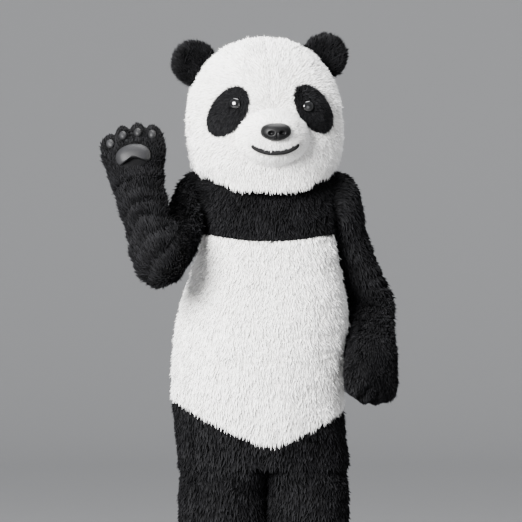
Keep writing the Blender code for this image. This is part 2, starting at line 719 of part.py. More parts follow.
def build_head(group, stand):
    turned = Matrix.Rotation(HEAD_YAW, 4, "Z") @ Matrix.Rotation(HEAD_ROLL, 4, "Y")
    turned = Matrix.Translation(NECK) @ turned @ Matrix.Translation(-Vector((0, 0, NECK.z)))

    def place(name, mesh, slot):
        mesh.transform(turned)
        return node(name, mesh, slot, group)

    cover = hollow("head_cover", head_rings(0, HEAD_RIM_Z), head_rings(COVER_WALL, HEAD_RIM_Z), True)
    place("head_cover", cover, "white_fur")
    outside = head_rings(COVER_WALL + 0.002, HEAD_RIM_Z + 0.002)
    inside = head_rings(COVER_WALL + 0.002 + SHELL_WALL, HEAD_RIM_Z + 0.002)
    place("head_shell", hollow("head_shell", outside, inside, True), "foam")

    def on_cover(x, z):
        skin, normal = face_point(x, z)
        return skin + normal * TOUCH_GAP, normal

    def forward_from_cover(x, z):
        return face_point(x, z)[0] + Vector((0, -TOUCH_GAP, 0)), Vector((0, -1, 0))

    def on_muzzle(x, z):
        return muzzle_point(x, z) + Vector((0, -0.0012, 0)), Vector((0, -1, 0))

    snout = face_patch((0, MUZZLE_Z), tilted_oval(MUZZLE_HALF_HEIGHT, MUZZLE_HALF_WIDTH, 0),
                       (0.2, 0.4, 0.6, 0.78, 0.92, 1.0), 24, forward_from_cover, muzzle_reach)
    place("muzzle", snout, "white_fur")
    nose = face_patch((0, 1.522), nose_outline, (0.35, 0.7, 1.0), 16, on_muzzle,
                      lambda share: 0.006 + 0.018 * math.sqrt(max(0.0, 1 - share**2)))
    place("nose", nose, "nose_plastic")
    outer, inner = [], []
    for across in np.linspace(-0.056, 0.056, 13):
        low, high = [], []
        for width in (-0.0028, 0.0028):
            skin = muzzle_point(across, 1.4725 + 0.0185 * (across / 0.056) ** 2 + width)
            low.append(skin + Vector((0, -0.0016, 0)))
            high.append(skin + Vector((0, -0.0046, 0)))
        outer.append(high)
        inner.append(low)
    place("mouth_strip", slab("mouth_strip", outer, inner), "black_pad")

    for side, sign in SIDE_SIGN.items():
        outline = tilted_oval(0.063, 0.039, math.radians(-27) * sign)
        middle = (sign * 0.104, 1.579)
        patch = face_patch(middle, outline, (0.33, 0.66, 1.0), 20, on_cover, lambda share: 0.006)
        place("eye_patch_" + side, patch, "black_fur")

        def on_patch(x, z):
            skin, normal = on_cover(x, z)
            return skin + normal * 0.0070, normal

        lens = face_patch((sign * 0.087, EYE_Z[side]), tilted_oval(0.0135, 0.0135, 0), (0.5, 0.85, 1.0), 14,
                          on_patch, lambda share: 0.002 + 0.006 * math.sqrt(max(0.0, 1 - share**2)))
        place("eye_" + side, lens, "lens")

    cutter = helper("head_cutter", solid("head_cutter", head_rings(-0.0008, HEAD_RIM_Z)), stand)
    cutter.data.transform(turned)
    for side, sign in SIDE_SIGN.items():
        rings = []
        for lat in np.radians([-68, -35, 0, 35, 68]):
            reach, thick = 0.0525 * math.cos(lat) ** 0.7, 0.021 * math.sin(lat)
            middle = Vector((sign * 0.164 - 0.005, 0.012 + thick, 1.714 + sign * 0.004))
            rings.append(ring_at(middle, Vector((0, 1, 0)), Vector((1, 0, 0)), (reach, reach), 16, 2.0))
        ear = place("ear_" + side, solid("ear", rings), "black_fur")
        boolean(ear, cutter, "DIFFERENCE")

    build_bib(place)
    return turned


def build_bib(place):
    """The fur hem under the head, which hangs over the chest and lifts over the shoulders."""
    width, depth = head_sizes(HEAD_RIM_Z)
    skins = []
    for inset in (0.0, 0.008):
        rings = []
        for share in (0.0, 0.4, 1.0):
            ring = []
            for turn in np.arange(24) * math.tau / 24:
                hem = 1.372 + 0.052 * abs(math.cos(turn)) ** 2.2
                z = (HEAD_RIM_Z - 0.0008) * (1 - share) + hem * share
                shrink = 1 - 0.07 * share**1.5
                c, s = squircle(turn, 2.3)
                ring.append(Vector(((width * shrink - inset) * c, (depth * shrink - inset) * s, z)))
            rings.append(ring)
        skins.append(rings)
    place("head_bib", hollow("head_bib", *skins), "white_fur")


def build_harness(group, turned):
    """The helmet inside the head, with its crown pad, and the strap under the wearer's chin."""
    upright, ahead = Vector((0, 0, 1)), Vector((1, 0, 0))
    skins = []
    for inset in (0.0, 0.004):
        rings = []
        for lat in np.radians([0, 22, 44, 66]):
            reach = math.cos(lat)
            middle = Vector((0, 0, 1.614 + 0.094 * math.sin(lat) - inset))
            half_sizes = (0.098 * reach - inset, 0.112 * reach - inset)
            rings.append(ring_at(middle, upright, ahead, half_sizes, 18, 2.0))
        skins.append(rings)
    pad_top = ring_at(Vector((0, 0, 1.7270)), upright, ahead, (0.030, 0.034), 18, 2.0)
    mesh = hollow("helmet", skins[0] + [pad_top], skins[1], True)
    mesh.transform(turned)
    node("helmet", mesh, "helmet_shell", group)

    outer, inner = [], []
    for t in np.linspace(0, math.pi, 13):
        drop = 0.098 * math.sin(t) ** 0.8
        middle = Vector((0.092 * math.cos(t), -0.030 - 0.020 * math.sin(t), 1.6085 - drop))
        thick = Vector((0.0011 * math.cos(t), 0, -0.0011 * math.sin(t)))
        outer.append([middle + Vector((0, y, 0)) + thick for y in (-0.010, 0.010)])
        inner.append([middle + Vector((0, y, 0)) - thick for y in (-0.010, 0.010)])
    mesh = slab("chin_strap", outer, inner)
    mesh.transform(turned)
    node("chin_strap", mesh, "webbing", group)


def build_neck(group):
    """The black fabric gaiter that closes the gap under the head."""
    path = [Vector((NECK.x, 0.004, z)) for z in (1.430, 1.450, 1.470, 1.486)]
    sizes = [(0.080, 0.072), (0.078, 0.070), (0.076, 0.069), (0.076, 0.069)]
    node("neck_gaiter", tube("neck_gaiter", path, sizes, Vector((1, 0, 0)), 0.004), "webbing", group)


def centre_on_origin(stand):
    """Moves the stand so that the costume's box is centred over the origin and its soles are at z = 0."""
    bpy.context.view_layer.update()
    graph = bpy.context.evaluated_depsgraph_get()
    low, high = Vector((9, 9, 9)), Vector((-9, -9, -9))
    for obj in bpy.context.scene.objects:
        if obj.type == "MESH" and not obj.hide_render:
            shown = obj.evaluated_get(graph)
            mesh = shown.to_mesh()
            for vertex in mesh.vertices:
                place = shown.matrix_world @ vertex.co
                low = Vector(map(min, low, place))
                high = Vector(map(max, high, place))
            shown.to_mesh_clear()
    stand.location = Vector((-(low.x + high.x) / 2, -(low.y + high.y) / 2, -low.z))


def main():
    clear_scene()
    stand = bpy.data.objects.new("stand", None)
    bpy.context.scene.collection.objects.link(stand)
    torso = pivot("torso", (0, 0, 0), stand)
    build_torso(torso, stand)
    slider_top = zip_line(ZIP_TOP_Z, 0.0035)
    slider = pivot("zip_slide", slider_top, stand)
    pull = pivot("zip_pull_swing", slider_top + Vector((0, 0.0062, -0.002)), stand)
    build_zip(torso, slider, pull)
    build_tail(torso)
    for side in SIDE_SIGN:
        upper = pivot("shoulder_" + side, SHOULDER[side], stand)
        fore = pivot("elbow_" + side, ELBOW[side], stand)
        mitt = pivot("wrist_" + side, WRIST[side], stand)
        build_arm(side, torso, upper, fore, mitt)
        hip = HIP[side]
        thigh = pivot("hip_" + side, hip, stand)
        shin = pivot("knee_" + side, (hip.x, 0.004, KNEE_Z), stand)
        foot = pivot("ankle_" + side, (hip.x, 0.006, ANKLE_Z), stand)
        build_leg(side, torso, thigh, shin, foot)
    neck = pivot("head_nod", NECK, stand)
    build_neck(neck)
    harness = pivot("head_turn", NECK, stand)
    head = pivot("head_lift", NECK, stand)
    turned = build_head(head, stand)
    build_harness(harness, turned)
    centre_on_origin(stand)


main()
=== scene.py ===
import json
import math

import bmesh
import bpy
import numpy as np
from mathutils import Matrix, Vector
from mathutils.bvhtree import BVHTree

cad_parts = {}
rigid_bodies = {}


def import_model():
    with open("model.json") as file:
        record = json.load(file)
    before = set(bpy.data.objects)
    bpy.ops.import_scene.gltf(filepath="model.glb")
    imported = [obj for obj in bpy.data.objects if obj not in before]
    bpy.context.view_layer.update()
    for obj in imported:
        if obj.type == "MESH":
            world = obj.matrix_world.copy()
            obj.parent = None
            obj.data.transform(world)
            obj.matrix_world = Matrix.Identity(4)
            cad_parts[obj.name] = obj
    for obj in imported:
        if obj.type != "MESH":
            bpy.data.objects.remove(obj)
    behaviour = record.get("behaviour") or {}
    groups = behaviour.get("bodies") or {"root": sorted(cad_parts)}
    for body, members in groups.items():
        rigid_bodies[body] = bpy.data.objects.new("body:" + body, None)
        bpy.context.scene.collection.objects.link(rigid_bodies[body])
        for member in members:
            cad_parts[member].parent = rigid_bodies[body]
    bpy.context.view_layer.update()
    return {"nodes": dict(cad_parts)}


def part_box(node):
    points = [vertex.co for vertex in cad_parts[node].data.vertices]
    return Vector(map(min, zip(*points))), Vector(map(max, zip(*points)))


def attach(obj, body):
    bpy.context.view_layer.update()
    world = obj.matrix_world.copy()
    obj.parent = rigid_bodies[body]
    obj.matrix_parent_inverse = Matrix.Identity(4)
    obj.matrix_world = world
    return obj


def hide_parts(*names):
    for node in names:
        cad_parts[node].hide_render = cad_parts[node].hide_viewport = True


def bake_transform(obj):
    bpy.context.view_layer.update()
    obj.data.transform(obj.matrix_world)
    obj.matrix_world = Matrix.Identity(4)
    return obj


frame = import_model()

scene = bpy.context.scene
soleLow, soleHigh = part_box("sole_left")
suitShift = np.array([(soleLow.x + soleHigh.x) / 2 - 0.118, (soleLow.y + soleHigh.y) / 2 + 0.053, 0.0])
sideSign = {"right": -1, "left": 1}
print("frame loaded, suit stands at", suitShift.round(4))


# helpers for materials and node trees

def srgb(text):
    parts = [int(text[i:i + 2], 16) / 255 for i in (1, 3, 5)]
    return tuple(c / 12.92 if c <= 0.04045 else ((c + 0.055) / 1.055) ** 2.4 for c in parts) + (1.0,)


def addNode(tree, kind, settings=None, links=None):
    node = tree.nodes.new(kind)
    for key, value in (settings or {}).items():
        if isinstance(key, int) or key in node.inputs:
            node.inputs[key].default_value = value
        else:
            setattr(node, key, value)
    for key, source in (links or {}).items():
        tree.links.new(source, node.inputs[key])
    return node


def newMaterial(name):
    made = bpy.data.materials.new(name)
    made.use_nodes = True
    made.node_tree.nodes.clear()
    return made, made.node_tree


def finishMaterial(tree, settings, links):
    shader = addNode(tree, "ShaderNodeBsdfPrincipled", settings, links)
    addNode(tree, "ShaderNodeOutputMaterial", None, {"Surface": shader.outputs["BSDF"]})


def setRamp(node, stops):
    ramp = node.color_ramp
    while len(ramp.elements) < len(stops):
        ramp.elements.new(0.5)
    for element, (place, colour) in zip(ramp.elements, stops):
        element.position = place
        element.color = srgb(colour)


# long-pile plush: an acrylic fur knit, brushed down; roots sit in shade and tips catch the light
furLooks = {
    "whitePlushFur": {"root": "#cfcdca", "middle": "#f3f2f0", "tip": "#ffffff",
                      "sheen": 0.30, "patch": 0.12, "gloss": 0.25},
    "blackPlushFur": {"root": "#010102", "middle": "#060607", "tip": "#18181a",
                      "sheen": 0.0, "patch": 0.26, "gloss": 0.10},
}


def furMaterial(name):
    look = furLooks[name]
    made, tree = newMaterial(name)
    coords = addNode(tree, "ShaderNodeTexCoord")
    patches = addNode(tree, "ShaderNodeTexNoise", {"Scale": 1 / 0.045, "Detail": 3.0, "Roughness": 0.55},
                      {"Vector": coords.outputs["Object"]})  # pile lies in patches about 45 mm across
    tip = addNode(tree, "ShaderNodeAttribute", {"attribute_name": "lockTip"})
    shade = addNode(tree, "ShaderNodeAttribute", {"attribute_name": "lockShade"})
    part = addNode(tree, "ShaderNodeMath", {"operation": "MULTIPLY_ADD", 1: 0.34, 2: -0.17},
                   {0: shade.outputs["Fac"]})
    grow = addNode(tree, "ShaderNodeMath", {"operation": "MULTIPLY_ADD", 1: 0.85},
                   {0: tip.outputs["Fac"], 2: part.outputs[0]})
    level = addNode(tree, "ShaderNodeMath", {"operation": "MULTIPLY_ADD", 1: look["patch"] * 2},
                    {0: patches.outputs["Fac"], 2: grow.outputs[0]})
    ramp = addNode(tree, "ShaderNodeValToRGB", None, {"Fac": level.outputs[0]})
    setRamp(ramp, [(0.0, look["root"]), (0.45, look["middle"]), (1.0, look["tip"])])
    finishMaterial(tree, {"Roughness": 0.78, "Sheen Weight": look["sheen"], "Sheen Roughness": 0.45,
                          "Specular IOR Level": look["gloss"]}, {"Base Color": ramp.outputs["Color"]})
    return made


def wovenMaterial(name, dark, light, threadMm, rough, sheen):
    made, tree = newMaterial(name)
    coords = addNode(tree, "ShaderNodeTexCoord")
    warp = addNode(tree, "ShaderNodeTexWave", {"bands_direction": "Z", "Scale": 1000 / threadMm / 20,
                                               "Distortion": 0.6}, {"Vector": coords.outputs["Object"]})
    weft = addNode(tree, "ShaderNodeTexWave", {"bands_direction": "X", "Scale": 1000 / threadMm / 20,
                                               "Distortion": 0.6}, {"Vector": coords.outputs["Object"]})
    both = addNode(tree, "ShaderNodeMath", {"operation": "MULTIPLY"},
                   {0: warp.outputs["Fac"], 1: weft.outputs["Fac"]})
    soil = addNode(tree, "ShaderNodeTexNoise", {"Scale": 22.0, "Detail": 4.0},
                   {"Vector": coords.outputs["Object"]})
    level = addNode(tree, "ShaderNodeMath", {"operation": "MULTIPLY_ADD", 1: 0.5},
                    {0: both.outputs[0], 2: soil.outputs["Fac"]})
    ramp = addNode(tree, "ShaderNodeValToRGB", None, {"Fac": level.outputs[0]})
    setRamp(ramp, [(0.25, dark), (0.9, light)])
    bump = addNode(tree, "ShaderNodeBump", {"Strength": 0.5, "Distance": 0.0004},
                   {"Height": both.outputs[0]})
    finishMaterial(tree, {"Roughness": rough, "Sheen Weight": sheen, "Specular IOR Level": 0.3},
                   {"Base Color": ramp.outputs["Color"], "Normal": bump.outputs["Normal"]})
    return made


def mouldedMaterial(name, dark, light, rough, grainMm, bumpMm, coat):
    made, tree = newMaterial(name)
    coords = addNode(tree, "ShaderNodeTexCoord")
    cloud = addNode(tree, "ShaderNodeTexNoise", {"Scale": 18.0, "Detail": 5.0},
                    {"Vector": coords.outputs["Object"]})
    grain = addNode(tree, "ShaderNodeTexNoise", {"Scale": 1000 / grainMm, "Detail": 2.0},
                    {"Vector": coords.outputs["Object"]})
    ramp = addNode(tree, "ShaderNodeValToRGB", None, {"Fac": cloud.outputs["Fac"]})
    setRamp(ramp, [(0.3, dark), (0.7, light)])
    roughness = addNode(tree, "ShaderNodeMapRange", {"To Min": rough - 0.06, "To Max": rough + 0.08},
                        {"Value": cloud.outputs["Fac"]})
    bump = addNode(tree, "ShaderNodeBump", {"Strength": 0.4, "Distance": bumpMm / 1000},
                   {"Height": grain.outputs["Fac"]})
    finishMaterial(tree, {"Coat Weight": coat, "Coat Roughness": 0.12},
                   {"Base Color": ramp.outputs["Color"], "Roughness": roughness.outputs["Result"],
                    "Normal": bump.outputs["Normal"]})
    return made


wovenLooks = {  # dark thread, light thread, thread spacing in mm, roughness, sheen
    "satinLining": ("#2a2b2e", "#45464a", 1.2, 0.5, 0.1),  # polyester satin, a soft shine
    "paleLining": ("#b9b7b0", "#d6d4cd", 1.2, 0.6, 0.1),  # the same in white
    "mouthFleece": ("#040405", "#0c0c0d", 1.0, 0.9, 0.0),  # knitted polyester fleece, quite dull
    "gaiterKnit": ("#0b0b0c", "#232326", 1.4, 0.9, 0.3),  # rib-knit cotton
    "nylonWebbing": ("#121315", "#2c2e33", 1.6, 0.6, 0.1),  # woven nylon strap
    "zipTape": ("#8b8882", "#bdbab2", 1.0, 0.75, 0.1),  # polyester tape, herringbone
}
mouldedLooks = {  # dark, light, roughness, grain size in mm, grain height in mm, coat
    "coatedVinyl": ("#19191a", "#252527", 0.52, 1.6, 0.12, 0.0),  # PVC on a knit backing, low gloss
    "noseAbs": ("#060607", "#0c0c0d", 0.50, 2.2, 0.06, 0.0),  # moulded ABS, satin
    "eyeAcrylic": ("#030303", "#070708", 0.10, 6.0, 0.01, 1.0),  # polished acrylic dome
    "zipNylon": ("#aaa79f", "#c6c3bb", 0.35, 1.0, 0.01, 0.0),  # extruded nylon coil
    "polyFoam": ("#84878c", "#a3a6ab", 0.85, 2.0, 0.5, 0.0),  # open-cell polyurethane, matt and pitted
    "helmetHdpe": ("#cfcdc4", "#e0ded6", 0.38, 3.0, 0.03, 0.0),  # moulded polyethylene
    "platedZinc": ("#9a9892", "#b9b7b0", 0.28, 1.0, 0.02, 0.0),  # nickel on die-cast zinc
    "soleRubber": ("#161616", "#242424", 0.72, 1.5, 0.15, 0.0),  # moulded crepe rubber
}
materials = {name: furMaterial(name) for name in furLooks}
materials |= {name: wovenMaterial(name, *look) for name, look in wovenLooks.items()}
materials |= {name: mouldedMaterial(name, *look) for name, look in mouldedLooks.items()}
materials["platedZinc"].node_tree.nodes["Principled BSDF"].inputs["Metallic"].default_value = 1.0
for name in ("noseAbs", "coatedVinyl"):
    materials[name].node_tree.nodes["Principled BSDF"].inputs["Specular IOR Level"].default_value = 0.22
print("materials made", len(materials))


# fur locks by Geometry Nodes: a point every few millimetres of skin, and a small leaning lock on each

def makeFurTree():
    tree = bpy.data.node_groups.new("furLocks", "GeometryNodeTree")
    tree.interface.new_socket("Skin", in_out="INPUT", socket_type="NodeSocketGeometry")
    for name in ("Spacing", "Lock length", "Lock width", "Lie", "Mess"):
        tree.interface.new_socket(name, in_out="INPUT", socket_type="NodeSocketFloat")
    tree.interface.new_socket("Seed", in_out="INPUT", socket_type="NodeSocketInt")
    tree.interface.new_socket("Fur", in_out="INPUT", socket_type="NodeSocketMaterial")
    tree.interface.new_socket("Coat", in_out="OUTPUT", socket_type="NodeSocketGeometry")
    given = addNode(tree, "NodeGroupInput").outputs
    side = addNode(tree, "GeometryNodeInputNamedAttribute", {"data_type": "BOOLEAN", "Name": "furSide"})
    nap = addNode(tree, "GeometryNodeInputNamedAttribute", {"data_type": "FLOAT_VECTOR", "Name": "nap"})
    pile = addNode(tree, "GeometryNodeInputNamedAttribute", {"data_type": "FLOAT", "Name": "pile"})
    square = addNode(tree, "ShaderNodeMath", {"operation": "MULTIPLY"},
                     {0: given["Spacing"], 1: given["Spacing"]})
    density = addNode(tree, "ShaderNodeMath", {"operation": "DIVIDE", 0: 1.9}, {1: square.outputs[0]})
    spots = addNode(tree, "GeometryNodeDistributePointsOnFaces", {"distribute_method": "POISSON"},
                    {"Mesh": given["Skin"], "Selection": side.outputs["Attribute"],
                     "Distance Min": given["Spacing"], "Density Max": density.outputs[0],
                     "Seed": given["Seed"]})

    # the way each lock lies: off the skin, along the nap, with clumps 30 mm across and a stray share
    place = addNode(tree, "GeometryNodeInputPosition")
    clump = addNode(tree, "ShaderNodeTexNoise", {"Scale": 1 / 0.030, "Detail": 1.0},
                    {"Vector": place.outputs["Position"]})
    centred = addNode(tree, "ShaderNodeVectorMath", {"operation": "SUBTRACT", 1: (0.5, 0.5, 0.5)},
                      {0: clump.outputs["Color"]})
    clumped = addNode(tree, "ShaderNodeVectorMath", {"operation": "SCALE", "Scale": 3.2},
                      {0: centred.outputs[0]})
    stray = addNode(tree, "FunctionNodeRandomValue",
                    {"data_type": "FLOAT_VECTOR", 0: (-1, -1, -1), 1: (1, 1, 1)}, {"Seed": given["Seed"]})
    sway = addNode(tree, "ShaderNodeVectorMath", {"operation": "ADD"},
                   {0: clumped.outputs[0], 1: stray.outputs[0]})
    mess = addNode(tree, "ShaderNodeVectorMath", {"operation": "SCALE"},
                   {0: sway.outputs[0], "Scale": given["Mess"]})
    upright = addNode(tree, "ShaderNodeMath", {"operation": "SUBTRACT", 0: 1.0}, {1: given["Lie"]})
    off = addNode(tree, "ShaderNodeVectorMath", {"operation": "SCALE"},
                  {0: spots.outputs["Normal"], "Scale": upright.outputs[0]})
    down = addNode(tree, "ShaderNodeVectorMath", {"operation": "SCALE"},
                   {0: nap.outputs["Attribute"], "Scale": given["Lie"]})
    lean = addNode(tree, "ShaderNodeVectorMath", {"operation": "ADD"},
                   {0: off.outputs[0], 1: down.outputs[0]})
    way = addNode(tree, "ShaderNodeVectorMath", {"operation": "ADD"},
                  {0: lean.outputs[0], 1: mess.outputs[0]})
    stand = addNode(tree, "FunctionNodeAlignRotationToVector", {"axis": "Z"}, {"Vector": way.outputs[0]})
    turn = addNode(tree, "FunctionNodeAlignRotationToVector", {"axis": "X", "pivot_axis": "Z"},
                   {"Rotation": stand.outputs[0], "Vector": nap.outputs["Attribute"]})

    # one lock: a three-sided spike, 1 high and 1 across, closed at its foot
    spike = addNode(tree, "GeometryNodeMeshCone",
                    {"fill_type": "NGON", "Vertices": 3, "Side Segments": 1, "Fill Segments": 1,
                     "Radius Top": 0.0, "Radius Bottom": 0.5, "Depth": 1.0})
    spot = addNode(tree, "GeometryNodeInputPosition")
    axes = addNode(tree, "ShaderNodeSeparateXYZ", None, {0: spot.outputs[0]})
    tipped = addNode(tree, "GeometryNodeStoreNamedAttribute",
                     {"data_type": "FLOAT", "domain": "POINT", "Name": "lockTip"},
                     {"Geometry": spike.outputs["Mesh"], "Value": axes.outputs["Z"]})

    girth = addNode(tree, "FunctionNodeRandomValue", {"data_type": "FLOAT", 2: 0.75, 3: 1.3},
                    {"Seed": given["Seed"]})
    reach = addNode(tree, "FunctionNodeRandomValue", {"data_type": "FLOAT", 2: 0.7, 3: 1.2, "Seed": 7})
    across = addNode(tree, "ShaderNodeMath", {"operation": "MULTIPLY"},
                     {0: girth.outputs[1], 1: given["Lock width"]})
    ownPile = addNode(tree, "ShaderNodeMath", {"operation": "MULTIPLY"},
                      {0: pile.outputs["Attribute"], 1: given["Lock length"]})
    along = addNode(tree, "ShaderNodeMath", {"operation": "MULTIPLY"},
                    {0: reach.outputs[1], 1: ownPile.outputs[0]})
    size = addNode(tree, "ShaderNodeCombineXYZ", None,
                   {"X": across.outputs[0], "Y": across.outputs[0], "Z": along.outputs[0]})
    locks = addNode(tree, "GeometryNodeInstanceOnPoints", None,
                    {"Points": spots.outputs["Points"], "Instance": tipped.outputs[0],
                     "Rotation": turn.outputs[0], "Scale": size.outputs[0]})
    shade = addNode(tree, "FunctionNodeRandomValue", {"data_type": "FLOAT", 2: 0.05, 3: 1.0, "Seed": 3})
    shaded = addNode(tree, "GeometryNodeStoreNamedAttribute",
                     {"data_type": "FLOAT", "domain": "INSTANCE", "Name": "lockShade"},
                     {"Geometry": locks.outputs[0], "Value": shade.outputs[1]})
    joined = addNode(tree, "GeometryNodeJoinGeometry")
    tree.links.new(shaded.outputs[0], joined.inputs[0])
    tree.links.new(given["Skin"], joined.inputs[0])
    real = addNode(tree, "GeometryNodeRealizeInstances", None, {"Geometry": joined.outputs[0]})
    isLock = addNode(tree, "GeometryNodeInputNamedAttribute", {"data_type": "FLOAT", "Name": "lockShade"})
    some = addNode(tree, "ShaderNodeMath", {"operation": "GREATER_THAN", 1: 0.02},
                   {0: isLock.outputs["Attribute"]})
    dressed = addNode(tree, "GeometryNodeSetMaterial", None,
                      {"Geometry": real.outputs[0], "Selection": some.outputs[0], "Material": given["Fur"]})
    addNode(tree, "NodeGroupOutput", None, {"Coat": dressed.outputs[0]})
    return tree


furTree = makeFurTree()
furSockets = {item.name: item.identifier for item in furTree.interface.items_tree if item.in_out == "INPUT"}

# lock sizes in metres; lie is 0 upright to 1 flat along the nap
furCuts = {
    "belly": {"Spacing": 0.0029, "Lock length": 0.016, "Lock width": 0.0054, "Lie": 0.72, "Mess": 0.26},
    "back": {"Spacing": 0.0034, "Lock length": 0.016, "Lock width": 0.0064, "Lie": 0.72, "Mess": 0.26},
    "face": {"Spacing": 0.0027, "Lock length": 0.014, "Lock width": 0.0050, "Lie": 0.66, "Mess": 0.27},
    "ear": {"Spacing": 0.0025, "Lock length": 0.015, "Lock width": 0.0048, "Lie": 0.50, "Mess": 0.27},
    "short": {"Spacing": 0.0021, "Lock length": 0.008, "Lock width": 0.0038, "Lie": 0.62, "Mess": 0.24},
    "hem": {"Spacing": 0.0023, "Lock length": 0.013, "Lock width": 0.0032, "Lie": 0.66, "Mess": 0.34},
    "sleeve": {"Spacing": 0.0031, "Lock length": 0.015, "Lock width": 0.0056, "Lie": 0.66, "Mess": 0.28},
    "leg": {"Spacing": 0.0038, "Lock length": 0.015, "Lock width": 0.0066, "Lie": 0.70, "Mess": 0.26},
}


def growFur(skin, cut, fur, seed):
    coarse = 1.0
    grow = skin.modifiers.new("fur", "NODES")
    grow.node_group = furTree
    for name, value in furCuts[cut].items():
        grow[furSockets[name]] = value * coarse if name in ("Spacing", "Lock width") else value
    grow[furSockets["Seed"]] = seed
    grow[furSockets["Fur"]] = materials[fur]
    graph = bpy.context.evaluated_depsgraph_get()
    coat = bpy.data.meshes.new_from_object(skin.evaluated_get(graph))
    skin.modifiers.remove(grow)
    for name in ("nap", "pile", "furSide"):
        if name in coat.attributes:
            coat.attributes.remove(coat.attributes[name])
    print(skin.name, "faces with its pile", len(coat.polygons))
    bare = skin.data
    skin.data = coat
    bpy.data.meshes.remove(bare)
    return skin


# helpers for skins: grids of points [around, along]

def powered(turns, power):
    c, s = np.cos(turns), np.sin(turns)
    return np.sign(c) * np.abs(c) ** (2 / power), np.sign(s) * np.abs(s) ** (2 / power)


def curveAt(table, heights):
    table = np.array(table)
    rows, values = table[:, 0], table[:, 1:]
    slopes = np.gradient(values, rows, axis=0)
    heights = np.clip(heights, rows[0], rows[-1])
    k = np.clip(np.searchsorted(rows, heights, side="right") - 1, 0, len(rows) - 2)
    span = (rows[k + 1] - rows[k])[..., None]
    t = (heights - rows[k])[..., None] / span
    ends = (2 * t**3 - 3 * t**2 + 1) * values[k] + (3 * t**2 - 2 * t**3) * values[k + 1]
    return ends + (t**3 - 2 * t**2 + t) * span * slopes[k] + (t**3 - t**2) * span * slopes[k + 1]


def unit(vectors):
    return vectors / np.maximum(np.linalg.norm(vectors, axis=-1, keepdims=True), 1e-9)


def gridNormals(grid, wrap):
    if wrap:
        around = np.roll(grid, -1, 0) - np.roll(grid, 1, 0)
    else:
        around = np.gradient(grid, axis=0)
    along = np.gradient(grid, axis=1)
    return unit(np.cross(around, along)), unit(along)


def softNoise(points, sizeMm, seed):
    rng = np.random.default_rng(seed)
    total = np.zeros(points.shape[:-1])
    for _ in range(6):
        way = rng.normal(size=3)
        way *= 2 * math.pi / (sizeMm / 1000) / np.linalg.norm(way) * rng.uniform(0.7, 1.4)
        total += np.sin(points @ way + rng.uniform(0, 6.28))
    return total / 6


# a skin with its lining: a wall of cloth on a grid, closed at its edges
def skinObject(name, outer, wrap, fur, lining, wall=0.006, closeEnd=False, nap=None, pile=1.0, bare=None,
               flip=False):
    normals, along = gridNormals(outer, wrap)
    if flip:
        normals = -normals
    inner = outer - normals * wall
    n, m = outer.shape[:2]
    nap = along if nap is None else unit(nap - (nap * normals).sum(-1, keepdims=True) * normals)
    points = np.concatenate([outer.reshape(-1, 3), inner.reshape(-1, 3)]) + suitShift
    faces, sides = [], []
    columns = n if wrap else n - 1

    def at(i, j, layer):
        return layer * n * m + (i % n) * m + j

    for layer in (0, 1):
        for i in range(columns):
            for j in range(m - 1):
                quad = [at(i, j, layer), at(i + 1, j, layer), at(i + 1, j + 1, layer), at(i, j + 1, layer)]
                faces.append(quad[::-1] if (layer == 1) != flip else quad)
                sides.append(layer)
    extra = []
    for i in range(columns):
        ends = [0] if closeEnd else [0, m - 1]
        for j in ends:
            quad = [at(i, j, 0), at(i, j, 1), at(i + 1, j, 1), at(i + 1, j, 0)]
            faces.append(quad[::-1] if (j == m - 1) != flip else quad)
            sides.append(1)
    if not wrap:
        for i in (0, n - 1):
            for j in range(m - 1):
                quad = [at(i, j, 0), at(i, j + 1, 0), at(i, j + 1, 1), at(i, j, 1)]
                faces.append(quad[::-1] if (i == n - 1) != flip else quad)
                sides.append(1)
    if closeEnd:
        for layer, grid in ((0, outer), (1, inner)):
            extra.append(grid[:, -1].mean(0) + suitShift)
            pole = 2 * n * m + layer
            for i in range(n):
                tri = [at(i, m - 1, layer), at(i + 1, m - 1, layer), pole]
                faces.append(tri[::-1] if (layer == 1) != flip else tri)
                sides.append(layer)
    if extra:
        points = np.concatenate([points, np.array(extra)])
    mesh = bpy.data.meshes.new(name)
    mesh.from_pydata(points.tolist(), [], faces)
    pad = len(points) - 2 * n * m
    naps = np.concatenate([nap.reshape(-1, 3), nap.reshape(-1, 3), np.tile([[0, 0, -1.0]], (pad, 1))])
    piles = np.broadcast_to(np.asarray(pile, float), (n, m)).reshape(-1)
    piles = np.concatenate([piles, piles, np.full(pad, piles[-1])])
    furred = np.array(sides) == 0
    if bare is not None:  # bare is a mask of grid points that carry no fur
        hidden = bare.reshape(-1)
        furred &= np.array([not all(v < n * m and hidden[v] for v in face) for face in faces])
    naps = naps.astype(np.float32).ravel()
    mesh.attributes.new("nap", "FLOAT_VECTOR", "POINT").data.foreach_set("vector", naps)
    mesh.attributes.new("pile", "FLOAT", "POINT").data.foreach_set("value", piles.astype(np.float32))
    mesh.attributes.new("furSide", "BOOLEAN", "FACE").data.foreach_set("value", furred)
    mesh.materials.append(materials[fur])
    mesh.materials.append(materials[lining])
    mesh.polygons.foreach_set("material_index", (np.array(sides) == 1).astype(np.int32))
    mesh.shade_smooth()
    obj = bpy.data.objects.new(name, mesh)
    scene.collection.objects.link(obj)
    return obj


def plainObject(name, mesh, slot=None):
    if slot:
        mesh.materials.clear()
        mesh.materials.append(materials[slot])
    obj = bpy.data.objects.new(name, mesh)
    scene.collection.objects.link(obj)
    return obj


